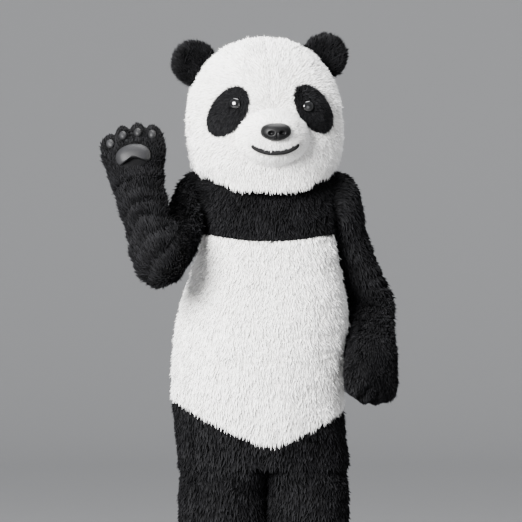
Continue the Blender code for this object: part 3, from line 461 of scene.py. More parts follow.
# the trunk
trunk = {
    "wall": 0.006,
    "crotchHeight": 0.712,
    "neckHoleHeight": 1.435,
    "skirt": 0.012,  # the hip panels reach this far down over the thighs
    "zipEdge": 87.3,  # degrees round from the side; the pile hides all but the middle of the tape
    "wrinkle": 0.004,
    # height, middle x, half width, depth to the front, depth to the back
    "sections": [
        (0.712, 0.004, 0.209, 0.142, 0.142), (0.800, -0.006, 0.208, 0.180, 0.164),
        (0.880, -0.0115, 0.209, 0.196, 0.1672), (0.960, -0.0060, 0.212, 0.204, 0.1624),
        (1.040, 0.0000, 0.211, 0.200, 0.1576), (1.120, 0.0058, 0.197, 0.184, 0.1528),
        (1.200, 0.0124, 0.176, 0.162, 0.1480), (1.280, 0.0180, 0.163, 0.140, 0.1432),
        (1.350, 0.0229, 0.160, 0.124, 0.1390), (1.400, 0.0200, 0.150, 0.110, 0.1360),
        (1.435, 0.0160, 0.122, 0.096, 0.1339),
    ],
}


def trunkPoints(turns, heights):
    middle, width, front, back = np.moveaxis(curveAt(trunk["sections"], heights), -1, 0)
    c, s = powered(turns, 2.25)
    depth = np.where(s > 0, back, front)
    points = np.stack([middle + width * c, depth * s, heights], -1)
    outward = unit(np.stack([c / width, s / depth, np.zeros_like(c)], -1))
    zipBand = np.clip(np.abs(points[..., 0] - middle) / 0.05, 0, 1) ** 2
    calm = np.where(s > 0, zipBand, 1.0)  # no wrinkles under the zip
    wrinkle = softNoise(points * [1, 1, 0.6], 120, 4) + 0.5 * softNoise(points, 60, 9)
    return points + outward * (trunk["wrinkle"] * wrinkle * calm)[..., None]


def yokeLine(turns):
    return 1.276 - 0.018 * np.abs(np.sin(turns)) ** 3


def frontLegLine(x):
    return 0.753 + 0.70 * np.abs(x - 0.018) ** 1.25


def legLine(turns):
    # the V of the belly in front; behind, from the line's height at the side seams down to the tail
    middle, width = curveAt(trunk["sections"], np.array(0.8))[:2]
    x = middle + width * powered(turns, 2.25)[0]
    seam = np.where(x > 0, frontLegLine(0.201), frontLegLine(-0.211))
    share = np.clip(1 - np.abs(x - middle) / width, 0, 1)
    return np.where(np.sin(turns) > 0, seam - (seam - 0.762) * share, frontLegLine(x))


def trunkPanel(name, turns, low, high, rows, fur, cut, seed, node):
    share = np.linspace(0, 1, rows)[None, :]
    turns = np.radians(turns)[:, None]
    lows = low(turns) if callable(low) else low
    highs = high(turns) if callable(high) else high
    heights = lows + (highs - lows) * share
    grid = trunkPoints(np.broadcast_to(turns, heights.shape), heights)
    lining = "paleLining" if fur == "whitePlushFur" else "satinLining"
    down = np.broadcast_to(np.array([0.0, 0.0, -1.0]), grid.shape)
    panel = skinObject(name, grid, False, fur, lining, trunk["wall"], nap=down)
    growFur(panel, cut, fur, seed)
    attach(panel, "torso")
    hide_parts(node)


def makeTrunk():
    neck, skirt = trunk["neckHoleHeight"], trunk["crotchHeight"] - trunk["skirt"]
    white, black = "whitePlushFur", "blackPlushFur"
    edge = trunk["zipEdge"]
    front = np.linspace(-180, 0, 81)
    left, right = np.linspace(0, edge, 41), np.linspace(180 - edge, 180, 41)
    hipLeft, hipRight = np.linspace(-89.8, 89.8, 81), np.linspace(-269.8, -90.2, 81)
    panels = [
        ("bellyFur", front, lambda t: legLine(t) + 0.006, yokeLine, 60, white, "belly", "belly_panel"),
        ("backFurLeft", left, legLine, yokeLine, 50, white, "back", "back_panel_left"),
        ("backFurRight", right, legLine, yokeLine, 50, white, "back", "back_panel_right"),
        ("chestFur", front, lambda t: yokeLine(t) + 0.007, neck, 22, black, "sleeve", "chest_yoke"),
        ("shoulderFurLeft", left, yokeLine, neck, 22, black, "back", "back_yoke_left"),
        ("shoulderFurRight", right, yokeLine, neck, 22, black, "back", "back_yoke_right"),
        ("hipFurLeft", hipLeft, skirt, legLine, 22, black, "leg", "hip_panel_left"),
        ("hipFurRight", hipRight, skirt, legLine, 22, black, "leg", "hip_panel_right"),
    ]
    for seed, (name, turns, low, high, rows, fur, cut, node) in enumerate(panels, 11):
        trunkPanel(name, turns, low, high, rows, fur, cut, seed, node)


makeTrunk()
print("trunk made")


# zip teeth: two rows of moulded nylon, set a step apart along the tape
zipTeeth = {
    "Pitch": 0.0032,  # coarser than a real coil, so that it shows
    "Tooth": (0.0030, 0.0020, 0.0016),
    "rowOffset": 0.0014,
    "low": 0.776,
    "high": 1.402,
}


def makeZipTeeth():
    tree = bpy.data.node_groups.new("zipTeeth", "GeometryNodeTree")
    inputs = {"Path": "Geometry", "Pitch": "Float", "Tooth": "Vector", "Nylon": "Material"}
    for name, kind in inputs.items():
        tree.interface.new_socket(name, in_out="INPUT", socket_type="NodeSocket" + kind)
    tree.interface.new_socket("Teeth", in_out="OUTPUT", socket_type="NodeSocketGeometry")
    given = addNode(tree, "NodeGroupInput").outputs
    curve = addNode(tree, "GeometryNodeMeshToCurve", None, {"Mesh": given["Path"]})
    steps = addNode(tree, "GeometryNodeResampleCurve", {"mode": "LENGTH"},
                    {"Curve": curve.outputs[0], "Length": given["Pitch"]})
    tooth = addNode(tree, "GeometryNodeMeshCube", None, {"Size": given["Tooth"]})
    along = addNode(tree, "GeometryNodeInputTangent")
    turn = addNode(tree, "FunctionNodeAlignRotationToVector", {"axis": "Z"}, {"Vector": along.outputs[0]})
    row = addNode(tree, "GeometryNodeInstanceOnPoints", None,
                  {"Points": steps.outputs[0], "Instance": tooth.outputs["Mesh"],
                   "Rotation": turn.outputs[0]})
    real = addNode(tree, "GeometryNodeRealizeInstances", None, {"Geometry": row.outputs[0]})
    dressed = addNode(tree, "GeometryNodeSetMaterial", None,
                      {"Geometry": real.outputs[0], "Material": given["Nylon"]})
    addNode(tree, "NodeGroupOutput", None, {"Teeth": dressed.outputs[0]})
    points, edges = [], []
    for sign in (-1, 1):
        shift = zipTeeth["Pitch"] / 4 * sign
        heights = np.linspace(zipTeeth["low"] + shift, zipTeeth["high"] + shift, 60)
        spots = trunkPoints(np.full(60, math.pi / 2), heights) + suitShift
        spots += [sign * zipTeeth["rowOffset"], 0.0020, 0.0]
        edges += [(len(points) + k, len(points) + k + 1) for k in range(59)]
        points += spots.tolist()
    path = bpy.data.meshes.new("zipTeeth")
    path.from_pydata(points, edges, [])
    obj = plainObject("zipTeeth", path)
    grow = obj.modifiers.new("teeth", "NODES")
    grow.node_group = tree
    sockets = {item.name: item.identifier for item in tree.interface.items_tree if item.in_out == "INPUT"}
    grow[sockets["Pitch"]] = zipTeeth["Pitch"]
    grow[sockets["Tooth"]] = zipTeeth["Tooth"]
    grow[sockets["Nylon"]] = materials["zipNylon"]
    made = bpy.data.meshes.new_from_object(obj.evaluated_get(bpy.context.evaluated_depsgraph_get()))
    obj.modifiers.remove(grow)
    obj.data = made
    bpy.data.meshes.remove(path)
    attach(obj, "torso")


makeZipTeeth()
print("zip teeth made")


# rings across a limb

def ringAt(middle, tangent, side, sizes, count=56, power=2.2):
    tangent = unit(np.asarray(tangent, float))
    across = unit(side - side.dot(tangent) * tangent)
    other = np.cross(tangent, across)
    c, s = powered(np.arange(count) * math.tau / count, power)
    return np.asarray(middle) + np.outer(c * sizes[0], across) + np.outer(s * sizes[1], other)


def sweepRings(rings, tangents, steps, reach):
    spans = []
    for k in range(len(rings) - 1):
        t = np.linspace(0, 1, steps[k] + 1)[:-1 if k < len(rings) - 2 else None][None, :, None]
        a, b = rings[k][:, None], rings[k + 1][:, None]
        pull = reach[k] + 0.9 * np.linalg.norm(b - a, axis=-1, keepdims=True)
        point = a * (2 * t**3 - 3 * t**2 + 1) + b * (3 * t**2 - 2 * t**3)
        leaving, arriving = t**3 - 2 * t**2 + t, t**3 - t**2
        spans.append(point + tangents[k] * pull * leaving + tangents[k + 1] * pull * arriving)
    return np.concatenate(spans, axis=1)


arm = {
    "shoulder": {"right": (-0.160, 0.000, 1.335), "left": (0.185, 0.010, 1.335)},
    "elbow": {"right": (-0.263, -0.206, 1.226), "left": (0.273, 0.052, 1.108)},
    "wrist": {"right": (-0.3075, -0.120, 1.4125), "left": (0.270, -0.078, 0.976)},
    "tip": {"right": (-0.328, -0.105, 1.549), "left": (0.264, -0.135, 0.840)},
    "palm": {"right": (0.0, -1.0, 0.0), "left": (-0.68, 0.73, 0.0)},
    "wide": {"right": 0.048, "left": 0.043},
    "spread": {"right": 0.012, "left": 0.004},
    "bag": {"right": 0.015, "left": 0.0},  # loose cloth hanging under the bent elbow
    "thick": 0.038,
    "mouth": 0.057,
    "foldDepth": {"right": 0.014, "left": 0.024},
    "foldLength": 0.036,
    "elbowShift": {"right": (0.012, 0.006, -0.004), "left": (0.0, 0.0, 0.0)},
}


def fold(grid, centre, spread, depth, length, seed):
    # rings of loose cloth, deepest near a joint, as ridges with narrow valleys between them
    normals, _ = gridNormals(grid, True)
    middle = grid.mean(0)
    run = np.concatenate([[0], np.cumsum(np.linalg.norm(np.diff(middle, axis=0), axis=1))])
    rng = np.random.default_rng(seed)
    turns = np.arange(grid.shape[0]) * math.tau / grid.shape[0]
    wander = sum(rng.uniform(0.4, 1.1) * np.sin(k * turns + rng.uniform(0, 6.28)) for k in (1, 2, 3))
    phase = run[None, :] / length * math.pi + wander[:, None]
    strength = np.exp(-((run[None, :] - centre) / spread) ** 2)
    strength = strength * (0.65 + 0.35 * np.sin(turns * 2 + seed))[:, None]
    ridge = np.abs(np.sin(phase)) ** 0.7 - 0.55
    return grid + normals * (depth * ridge * strength)[..., None]


def makeSleeves(side, seed):
    sign = sideSign[side]
    shoulder, elbow, wrist = (np.array(arm[key][side]) for key in ("shoulder", "elbow", "wrist"))
    upper, fore = unit(elbow - shoulder), unit(wrist - elbow)
    hinge = unit(np.cross(upper, fore))
    wide, thick = arm["wide"][side], arm["thick"]
    outward = np.array([sign, 0.0, 0.0])
    mouth = np.array([shoulder[0] - sign * 0.050, shoulder[1], 1.343])
    halfway = shoulder + upper * 0.125
    under = -unit(fore - fore.dot(upper) * upper)
    bag = arm["bag"][side]
    rings = [
        ringAt(mouth, outward, hinge, (arm["mouth"], arm["mouth"] + 0.004), power=2.0),
        ringAt(shoulder + outward * 0.004 + [0, 0, 0.006], outward + upper * 0.35, hinge, (0.056, 0.058),
               power=2.0),
        ringAt(shoulder + upper * 0.095, upper, hinge, (wide + 0.003, thick + 0.010)),
        ringAt(halfway + under * bag * 0.35, upper, hinge, (wide + 0.003, thick + 0.007 + bag * 0.35)),
    ]
    ways = [outward, unit(outward + upper * 0.6), upper, upper]
    for ring in rings[:2]:  # the shoulder's top stands up beside the neck
        above = np.clip(ring[:, 2] - ring[:, 2].mean(), 0, None)
        ring[:, 2] += above * 0.52
    top = sweepRings(rings, ways, (6, 14, 8), (0.0, 0.01, 0.0))
    top = fold(top, 0.10, 0.06, 0.004, 0.040, seed)
    sleeve = skinObject("upperSleeve" + side.title(), top, True, "blackPlushFur", "satinLining", 0.005)
    growFur(sleeve, "sleeve", "blackPlushFur", seed)
    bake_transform(sleeve)
    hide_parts("shoulder_gusset_" + side, "upper_sleeve_" + side)

    clear = 0.086  # straight cloth starts this far from the elbow
    bend = unit(upper + fore)
    deep = thick / math.cos(math.acos(upper @ fore) / 2) - 0.002  # the sharper the bend, the deeper its ring
    rings = [
        ringAt(halfway - upper * 0.008 + under * bag * 0.35, upper, hinge,
               (wide + 0.002, thick + 0.006 + bag * 0.35)),
        ringAt(elbow - upper * clear + under * bag, upper, hinge,
               (wide + 0.002 + bag * 0.25, thick + 0.002 + bag)),
        ringAt(elbow - hinge * bag * 0.7 + arm["elbowShift"][side], bend, hinge,
               (wide + arm["spread"][side], deep)),
        ringAt(elbow + fore * clear, fore, hinge, (wide + 0.003, thick + 0.006)),
        ringAt(elbow + fore * 0.140, fore, hinge, (wide + 0.008, thick + 0.014)),
        ringAt(wrist - fore * 0.014, fore, hinge, (0.055, 0.052)),
        ringAt(wrist + fore * 0.012, fore, hinge, (0.050, 0.047)),
    ]
    ways = [upper, upper, bend, fore, fore, fore, fore]
    low = sweepRings(rings, ways, (6, 20, 20, 12, 12, 6), (0.0, 0.003, 0.003, 0.0, 0.0, 0.0))
    low = fold(low, 0.19, 0.11, arm["foldDepth"][side], arm["foldLength"], seed + 5)
    sleeve = skinObject("lowerSleeve" + side.title(), low, True, "blackPlushFur", "satinLining", 0.005)
    growFur(sleeve, "sleeve", "blackPlushFur", seed + 1)
    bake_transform(sleeve)
    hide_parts("elbow_gusset_" + side, "lower_sleeve_" + side)


for side, seed in (("right", 30), ("left", 40)):
    makeSleeves(side, seed)
print("sleeves made")


# mitts: a stuffed body with four finger lobes, and vinyl pads on the palm
mitt = {
    "fingers": {  # offset across, reach
        "right": [(-0.052, 0.116), (-0.018, 0.132), (0.019, 0.134), (0.053, 0.124)],
        "left": [(-0.052, 0.122), (-0.018, 0.130), (0.019, 0.122), (0.053, 0.104)],
    },
    "fingerRadius": 0.0232,
    "voxel": 0.0035,
    "palmPad": (0.043, 0.029, 0.014),  # half sizes and height
    "toePad": (0.0098, 0.0115, 0.007),
    "padLift": 0.003,
}


def loft(rings):
    bm = bmesh.new()
    loops = [[bm.verts.new(p + suitShift) for p in ring] for ring in rings]
    for a, b in zip(loops, loops[1:]):
        for i in range(len(a)):
            j = (i + 1) % len(a)
            bm.faces.new([a[i], a[j], b[j], b[i]])
    bm.faces.new(loops[0][::-1])
    bm.faces.new(loops[-1])
    bmesh.ops.recalc_face_normals(bm, faces=bm.faces)
    return bm


def fused(name, parts, voxel, smooth):
    # joins closed forms into one skin and rounds it
    whole = bmesh.new()
    for part in parts:
        mesh = bpy.data.meshes.new("part")
        part.to_mesh(mesh)
        part.free()
        whole.from_mesh(mesh)
        bpy.data.meshes.remove(mesh)
    mesh = bpy.data.meshes.new(name)
    whole.to_mesh(mesh)
    whole.free()
    obj = bpy.data.objects.new(name, mesh)
    scene.collection.objects.link(obj)
    remesh = obj.modifiers.new("remesh", "REMESH")
    remesh.mode = "VOXEL"
    remesh.voxel_size = voxel
    even = obj.modifiers.new("even", "SMOOTH")
    even.iterations = smooth
    even.factor = 0.5
    result = bpy.data.meshes.new_from_object(obj.evaluated_get(bpy.context.evaluated_depsgraph_get()))
    obj.modifiers.clear()
    obj.data = result
    bpy.data.meshes.remove(mesh)
    result.shade_smooth()
    return obj


def furAttributes(obj, nap, pile, bare=None):
    mesh = obj.data
    count = len(mesh.vertices)
    normals = np.zeros(count * 3)
    mesh.vertices.foreach_get("normal", normals)
    normals = normals.reshape(-1, 3)
    nap = np.broadcast_to(np.asarray(nap, float), (count, 3))
    nap = unit(nap - (nap * normals).sum(-1, keepdims=True) * normals)
    furred = np.ones(len(mesh.polygons), bool)
    if bare is not None:
        centres = np.zeros(len(mesh.polygons) * 3)
        mesh.polygons.foreach_get("center", centres)
        furred = ~bare(centres.reshape(-1, 3))
    nap = nap.astype(np.float32).ravel()
    mesh.attributes.new("nap", "FLOAT_VECTOR", "POINT").data.foreach_set("vector", nap)
    piles = np.broadcast_to(np.asarray(pile, float), (count,)).astype(np.float32)
    mesh.attributes.new("pile", "FLOAT", "POINT").data.foreach_set("value", piles)
    mesh.attributes.new("furSide", "BOOLEAN", "FACE").data.foreach_set("value", furred)


def puffedPad(name, tree, middle, axes, sizes, lift, slot, outline=None, rings=9, spokes=40):
    # a dome laid on a surface: a stitched rim, then a pillow that rises to its middle
    across, along, out = axes
    bm = bmesh.new()
    grids = []
    for layer in (0, 1):
        rows = []
        for share in np.linspace(0, 1, rings + 1)[1:]:
            row = []
            for turn in np.arange(spokes) * math.tau / spokes:
                u, v = outline(turn) if outline else (math.cos(turn), math.sin(turn))
                spot = middle + across * sizes[0] * share * u + along * sizes[1] * share * v
                hit = tree.ray_cast(Vector(spot + out * 0.15 + suitShift), Vector(-out))[0]
                base = np.array(hit) if hit else spot + suitShift
                if layer:
                    puff = (1 - share**2.6) ** 0.6
                    stitch = 0.18 * math.exp(-((share - 0.86) / 0.05) ** 2)
                    base = base + out * (lift + sizes[2] * max(0.12, 0.25 + 0.75 * puff - stitch))
                else:
                    base = base - out * 0.002
                row.append(bm.verts.new(base))
            rows.append(row)
        top = tree.ray_cast(Vector(middle + out * 0.15 + suitShift), Vector(-out))[0]
        base = np.array(top) if top else middle + suitShift
        centre = bm.verts.new(base + out * (lift + sizes[2]) if layer else base - out * 0.002)
        grids.append((centre, rows))
    for layer, (centre, rows) in enumerate(grids):
        for i in range(spokes):
            j = (i + 1) % spokes
            bm.faces.new([centre, rows[0][i], rows[0][j]])
            for low, high in zip(rows, rows[1:]):
                bm.faces.new([low[i], high[i], high[j], low[j]])
    for i in range(spokes):
        j = (i + 1) % spokes
        bm.faces.new([grids[0][1][-1][i], grids[0][1][-1][j], grids[1][1][-1][j], grids[1][1][-1][i]])
    bmesh.ops.recalc_face_normals(bm, faces=bm.faces)
    mesh = bpy.data.meshes.new(name)
    bm.to_mesh(mesh)
    bm.free()
    mesh.shade_smooth()
    return plainObject(name, mesh, slot)


def makeMitt(side, seed):
    elbow, wrist, tip, palm = (np.array(arm[key][side]) for key in ("elbow", "wrist", "tip", "palm"))
    fore, along = unit(wrist - elbow), unit(tip - wrist)
    palm = unit(palm - palm.dot(along) * along)
    across = np.cross(along, palm)
    places = [wrist - fore * 0.024, wrist + fore * 0.006]
    places += [wrist + along * s for s in (0.035, 0.062, 0.086, 0.100)]
    sizes = [(0.061, 0.057), (0.063, 0.056), (0.070, 0.049), (0.077, 0.044), (0.074, 0.036), (0.060, 0.023)]
    ways = [fore, fore, along, along, along, along]
    powers = (2.1, 2.2, 2.4, 2.5, 2.5, 2.4)
    body = loft([ringAt(p, w, across, s, 40, q) for p, w, s, q in zip(places, ways, sizes, powers)])
    parts, toes = [body], []
    for offset, reach in mitt["fingers"][side]:
        base = wrist + along * 0.060 + across * offset
        length = reach - 0.060
        rings = []
        for t in np.linspace(0, 1, 9):
            swell = 0.82 + 0.18 * math.sin(math.pi * min(t * 1.2, 1))
            swell *= math.sqrt(max(0.02, 1 - max(0.0, (t - 0.62) / 0.40) ** 2))
            half = (mitt["fingerRadius"] * swell, mitt["fingerRadius"] * 1.25 * swell)
            rings.append(ringAt(base + along * length * t, along, across, half, 24, 2.0))
        parts.append(loft(rings))
        toes.append(base + along * (length - 0.024))
    glove = fused("mitt" + side.title(), parts, mitt["voxel"], 10)
    glove.data.materials.clear()
    glove.data.materials.append(materials["blackPlushFur"])
    tree = BVHTree.FromObject(glove, bpy.context.evaluated_depsgraph_get())
    heart = wrist + along * 0.052
    width, height, puff = mitt["palmPad"]
    axes = (across, along, palm)

    def beanOutline(turn):
        u, v = math.cos(turn), math.sin(turn)
        return u, v if v > 0 else v * (0.25 + 1.3 * u * u)  # arched above, hollow below

    pads = [puffedPad("palmPad" + side.title(), tree, heart, axes, (width, height, puff), mitt["padLift"],
                      "coatedVinyl", beanOutline)]
    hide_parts("palm_pad_" + side)
    for k, toe in enumerate(toes):
        pad = puffedPad(f"toePad{side.title()}{k + 1}", tree, toe, axes, mitt["toePad"], mitt["padLift"],
                        "coatedVinyl", None, 6, 24)
        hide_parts(f"toe_pad_{side}_{k + 1}")
        pads.append(pad)

    def underPad(centres):
        spots = centres - suitShift
        away = spots - heart
        facing = away @ palm > 0
        inPalm = (away @ across / (width * 1.04)) ** 2 + (away @ along / (height * 1.06)) ** 2 < 1
        covered = inPalm & facing  # no pile under the pads
        for toe in toes:
            away = spots - toe
            covered |= ((away @ across) ** 2 + (away @ along) ** 2 < 0.0105**2) & (away @ palm > 0)
        return covered

    points = np.array([v.co for v in glove.data.vertices]) - suitShift
    normals = np.array([v.normal for v in glove.data.vertices])
    tipward = np.clip(((points - wrist) @ along - 0.085) / 0.03, 0, 1)
    pile = 0.85 - 0.30 * np.clip(normals @ palm, 0, 1) * (points @ along > wrist @ along) - 0.25 * tipward
    furAttributes(glove, along, pile, underPad)
    growFur(glove, "sleeve", "blackPlushFur", seed)
    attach(glove, "mitt_" + side)
    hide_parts("mitt_" + side)
    for pad in pads:
        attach(pad, "mitt_" + side)


for side, seed in (("right", 50), ("left", 60)):
    makeMitt(side, seed)
print("mitts made")


# legs and overshoes
leg = {
    "hip": {"right": -0.103, "left": 0.118},
    "width": {"right": 0.100, "left": 0.094},
    "middleY": 0.004,
    "inner": 0.012,  # the thighs' pile meets between the legs
    "sideGap": 0.007,
    "frontGap": 0.0045,
}


def tuckUnderHips(grid, heights, turns, side):
    # the thigh's top follows the hip panels, just inside their lower edge
    x = leg["hip"][side]
    middle, half, front, back = np.moveaxis(curveAt(trunk["sections"], heights), -1, 0)
    c, s = (way[:, None] for way in powered(turns, 3.2))
    outerReach = np.abs(middle + half * sideSign[side] - x) - leg["sideGap"]
    innerReach = leg["width"][side] + leg["inner"]
    outer = np.cos(turns)[:, None] * sideSign[side] > 0
    topX = x + c * np.where(outer, outerReach[None], innerReach)
    share = np.clip(np.abs((topX - middle) / half), 0, 1)
    depth = np.where(s > 0, back, front) * (1 - share**2.25) ** (1 / 2.25)
    topY = s * (depth - leg["frontGap"])
    mix = np.clip((heights - 0.630) / 0.060, 0, 1)
    mix = (mix * mix * (3 - 2 * mix))[None]
    grid[..., 0] += mix * (topX[::-1] - grid[..., 0])
    grid[..., 1] += mix * (topY[::-1] - grid[..., 1])


def makeLeg(side, seed):
    x, width = leg["hip"][side], leg["width"][side]
    # height, half width, half depth
    thigh = [(0.732, width, 0.132), (0.690, width + 0.001, 0.127), (0.640, width, 0.121),
             (0.560, width, 0.112), (0.500, width - 0.002, 0.105)]
    shin = [(0.510, width - 0.002, 0.106), (0.455, width - 0.005, 0.100), (0.400, width - 0.006, 0.096),
            (0.340, width - 0.005, 0.095), (0.240, width - 0.010, 0.090), (0.165, 0.082, 0.084),
            (0.120, 0.074, 0.076)]
    thighBody, shinBody = "thigh_" + side, "shin_" + side
    parts = [
        ("thighFur", thigh, 40, ("torso", thighBody), (0.715, 0.650), ("hip_gusset_", "thigh_"), 0.002),
        ("shinFur", shin, 56, (thighBody, shinBody), (0.445, 0.355), ("knee_gusset_", "shin_"), 0.008),
    ]
    turns = np.arange(64) * math.tau / 64
    c, s = (way[:, None] for way in powered(turns, 2.25))
    inward = np.where(c * sideSign[side] < 0, np.abs(c) ** 0.5, 0.0) * leg["inner"]
    for name, table, rows, bodies, ends, nodes, foldDepth in parts:
        heights = np.linspace(table[0][0], table[-1][0], rows)
        sizes = curveAt(table[::-1], heights)
        inner = inward * np.clip((heights[None, :] - 0.30) / 0.20, 0.2, 1)
        across, deep = c * (sizes[None, :, 0] + inner), s * sizes[None, :, 1]
        grid = np.stack([x + across, leg["middleY"] + deep, np.broadcast_to(heights, (64, rows))], -1)[::-1]
        if name == "thighFur":
            tuckUnderHips(grid, heights, turns, side)
        grid = fold(grid, 0.11, 0.10, foldDepth, 0.045, seed)
        skin = skinObject(name + side.title(), grid, True, "blackPlushFur", "satinLining", 0.005)
        growFur(skin, "leg", "blackPlushFur", seed)
        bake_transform(skin)
        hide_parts(*[node + side for node in nodes])
        seed += 1


for side, seed in (("right", 70), ("left", 80)):
    makeLeg(side, seed)
print("legs made")

shoe = {"voxel": 0.004, "underside": 0.0155}


def shoeHalfWidth(y):
    share = np.clip((y + 0.218) / 0.330, 0, 1)
    return 0.092 * (1 - np.abs(2 * share - 1) ** 2.6) ** (1 / 2.2) * (1.04 - 0.16 * share)


def makeShoe(side, seed):
    x = leg["hip"][side]
    rings = []
    for t in np.linspace(0.03, 0.97, 22):
        y = 0.110 - 0.326 * t
        half = max(float(shoeHalfWidth(y)), 0.012)
        height = 0.060 + 0.056 * math.exp(-(((y - 0.015) / 0.085) ** 2))
        height *= 0.45 + 0.55 * math.sin(math.pi * min(max(t, 0.06), 0.94)) ** 0.5
        c, s = powered(np.arange(32) * math.tau / 32, 2.6)
        z = np.maximum(0.045 + s * height, shoe["underside"])
        rings.append(np.stack([x + half * c, np.full(32, y), z], -1))
    foot = loft(rings)
    collar = loft([ringAt((x, 0.008, z), (0, 0, 1.0), np.array([1.0, 0, 0]), s, 40, 2.2)
                   for z, s in ((0.050, (0.086, 0.090)), (0.110, (0.090, 0.094)), (0.150, (0.092, 0.096)),
                                (0.162, (0.088, 0.092)))])
    boot = fused("overshoe" + side.title(), [foot, collar], shoe["voxel"], 5)
    boot.data.materials.clear()
    boot.data.materials.append(materials["blackPlushFur"])
    points = np.array([v.co for v in boot.data.vertices]) - suitShift
    pile = np.where(points[:, 2] < 0.035, 0.45, 0.8)
    furAttributes(boot, (0.0, -0.6, -0.8), pile, lambda centres: centres[:, 2] < 0.018)
    growFur(boot, "leg", "blackPlushFur", seed)
    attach(boot, "foot_" + side)
    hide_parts("boot_" + side)


for side, seed in (("right", 90), ("left", 95)):
    makeShoe(side, seed)
print("overshoes made")


# the head
head = {
    "neck": (0.010, 0.000, 1.440),
    "yaw": 6.0,
    "roll": -2.0,
    "midHeight": 1.560,
    "halfWidth": 0.188,
    "halfDepth": 0.186,
    "up": 0.2025,
    "down": 0.195,
    "rimHeight": 1.446,
    "muzzle": (0.0, 1.512, 0.088, 0.068, 0.066),  # x, height, half sizes and reach
    "patch": (0.104, 1.579, 0.038, 0.063, 34.0),  # x, height, half sizes and lean
    "eye": (0.087, {"right": 1.597, "left": 1.585}, 0.0135),  # x, heights and radius
    "nose": (0.0, 1.522, 0.037, 0.022),  # x, height and half sizes
    "ear": (0.164, 0.012, 1.714, 0.0525, 0.021),  # middle, radius and half thickness
}
headTurn = (Matrix.Translation(head["neck"]) @ Matrix.Rotation(math.radians(head["yaw"]), 4, "Z")
            @ Matrix.Rotation(math.radians(head["roll"]), 4, "Y")
            @ Matrix.Translation((0, 0, -head["neck"][2])))
headTurn = np.array(headTurn)


def turned(points):
    return points @ headTurn[:3, :3].T + headTurn[:3, 3]


def turnedWay(ways):
    return np.asarray(ways, float) @ headTurn[:3, :3].T


def headSizes(heights):
    above = np.clip((heights - head["midHeight"]) / head["up"], 0, 1)
    below = np.clip((head["midHeight"] - heights) / head["down"], 0, 1)
    share = np.where(heights >= head["midHeight"], (1 - above**2.1) ** (1 / 2.1), (1 - below**3) ** (1 / 3))
    return head["halfWidth"] * share, head["halfDepth"] * share


def facePoints(x, z):
    width, reach = headSizes(z)
    return np.stack([x, -reach * (1 - np.clip(np.abs(x / width), 0, 1) ** 2.3) ** (1 / 2.3), z], -1)


def faceNormals(x, z):
    step = 0.001
    slopeX = (facePoints(x + step, z)[..., 1] - facePoints(x - step, z)[..., 1]) / (2 * step)
    slopeZ = (facePoints(x, z + step)[..., 1] - facePoints(x, z - step)[..., 1]) / (2 * step)
    return unit(np.stack([slopeX, -np.ones_like(slopeX), slopeZ], -1))


def muzzleReach(share):
    return 0.003 + head["muzzle"][4] * np.maximum(0.0, 1 - share**2.4) ** 0.75


def muzzlePoints(x, z):
    _, mz, halfX, halfZ, _ = head["muzzle"]
    share = np.hypot(x / halfX, (z - mz) / halfZ)
    base = facePoints(x, z)
    base[..., 1] -= muzzleReach(np.clip(share, 0, 1))
    return base


def polarPatch(name, middle, outline, surface, thickness, rings, spokes):
    # a closed patch on the face: surface gives base points and ways out, thickness goes by share
    shares = np.linspace(0, 1, rings + 1)[1:]
    turns = np.arange(spokes) * math.tau / spokes
    u, v = outline(turns)
    x = middle[0] + np.outer(u, shares)
    z = middle[1] + np.outer(v, shares)
    base, out = surface(x, z)
    high = base + out * thickness(shares[None, :] + 0 * x, x, z)[..., None]
    hubX, hubZ = np.array([middle[0]]), np.array([middle[1]])
    centreBase, centreOut = surface(hubX, hubZ)
    centre = centreBase + centreOut * thickness(np.zeros(1), hubX, hubZ)[..., None]
    bm = bmesh.new()
    layers = []
    for grid, hub in ((high, centre[0]), (base, centreBase[0])):
        grid = turned(grid) + suitShift
        verts = [[bm.verts.new(grid[i, j]) for j in range(rings)] for i in range(spokes)]
        layers.append((bm.verts.new(turned(hub) + suitShift), verts))
    for hub, verts in layers:
        for i in range(spokes):
            k = (i + 1) % spokes
            bm.faces.new([hub, verts[i][0], verts[k][0]])
            for j in range(rings - 1):
                bm.faces.new([verts[i][j], verts[i][j + 1], verts[k][j + 1], verts[k][j]])
    for i in range(spokes):
        k = (i + 1) % spokes
        bm.faces.new([layers[0][1][i][-1], layers[0][1][k][-1], layers[1][1][k][-1], layers[1][1][i][-1]])
    bmesh.ops.recalc_face_normals(bm, faces=bm.faces)
    mesh = bpy.data.meshes.new(name)
    bm.to_mesh(mesh)
    bm.free()
    mesh.shade_smooth()
    return plainObject(name, mesh)


def leaningOval(halfLong, halfShort, lean):
    def outline(turns):
        u, v = halfShort * np.cos(turns), halfLong * np.sin(turns)
        return u * math.cos(lean) + v * math.sin(lean), -u * math.sin(lean) + v * math.cos(lean)
    return outline


def onFace(x, z):
    normals = faceNormals(x, z)
    return facePoints(x, z) + normals * 0.001, normals


def onMuzzle(x, z):
    return muzzlePoints(x, z), np.broadcast_to(np.array([0.0, -1.0, 0.0]), x.shape + (3,))


def inOval(x, z, middle, halfLong, halfShort, lean):
    u, v = x - middle[0], z - middle[1]
    a = u * math.cos(lean) - v * math.sin(lean)
    b = u * math.sin(lean) + v * math.cos(lean)
    return (a / halfShort) ** 2 + (b / halfLong) ** 2 < 1


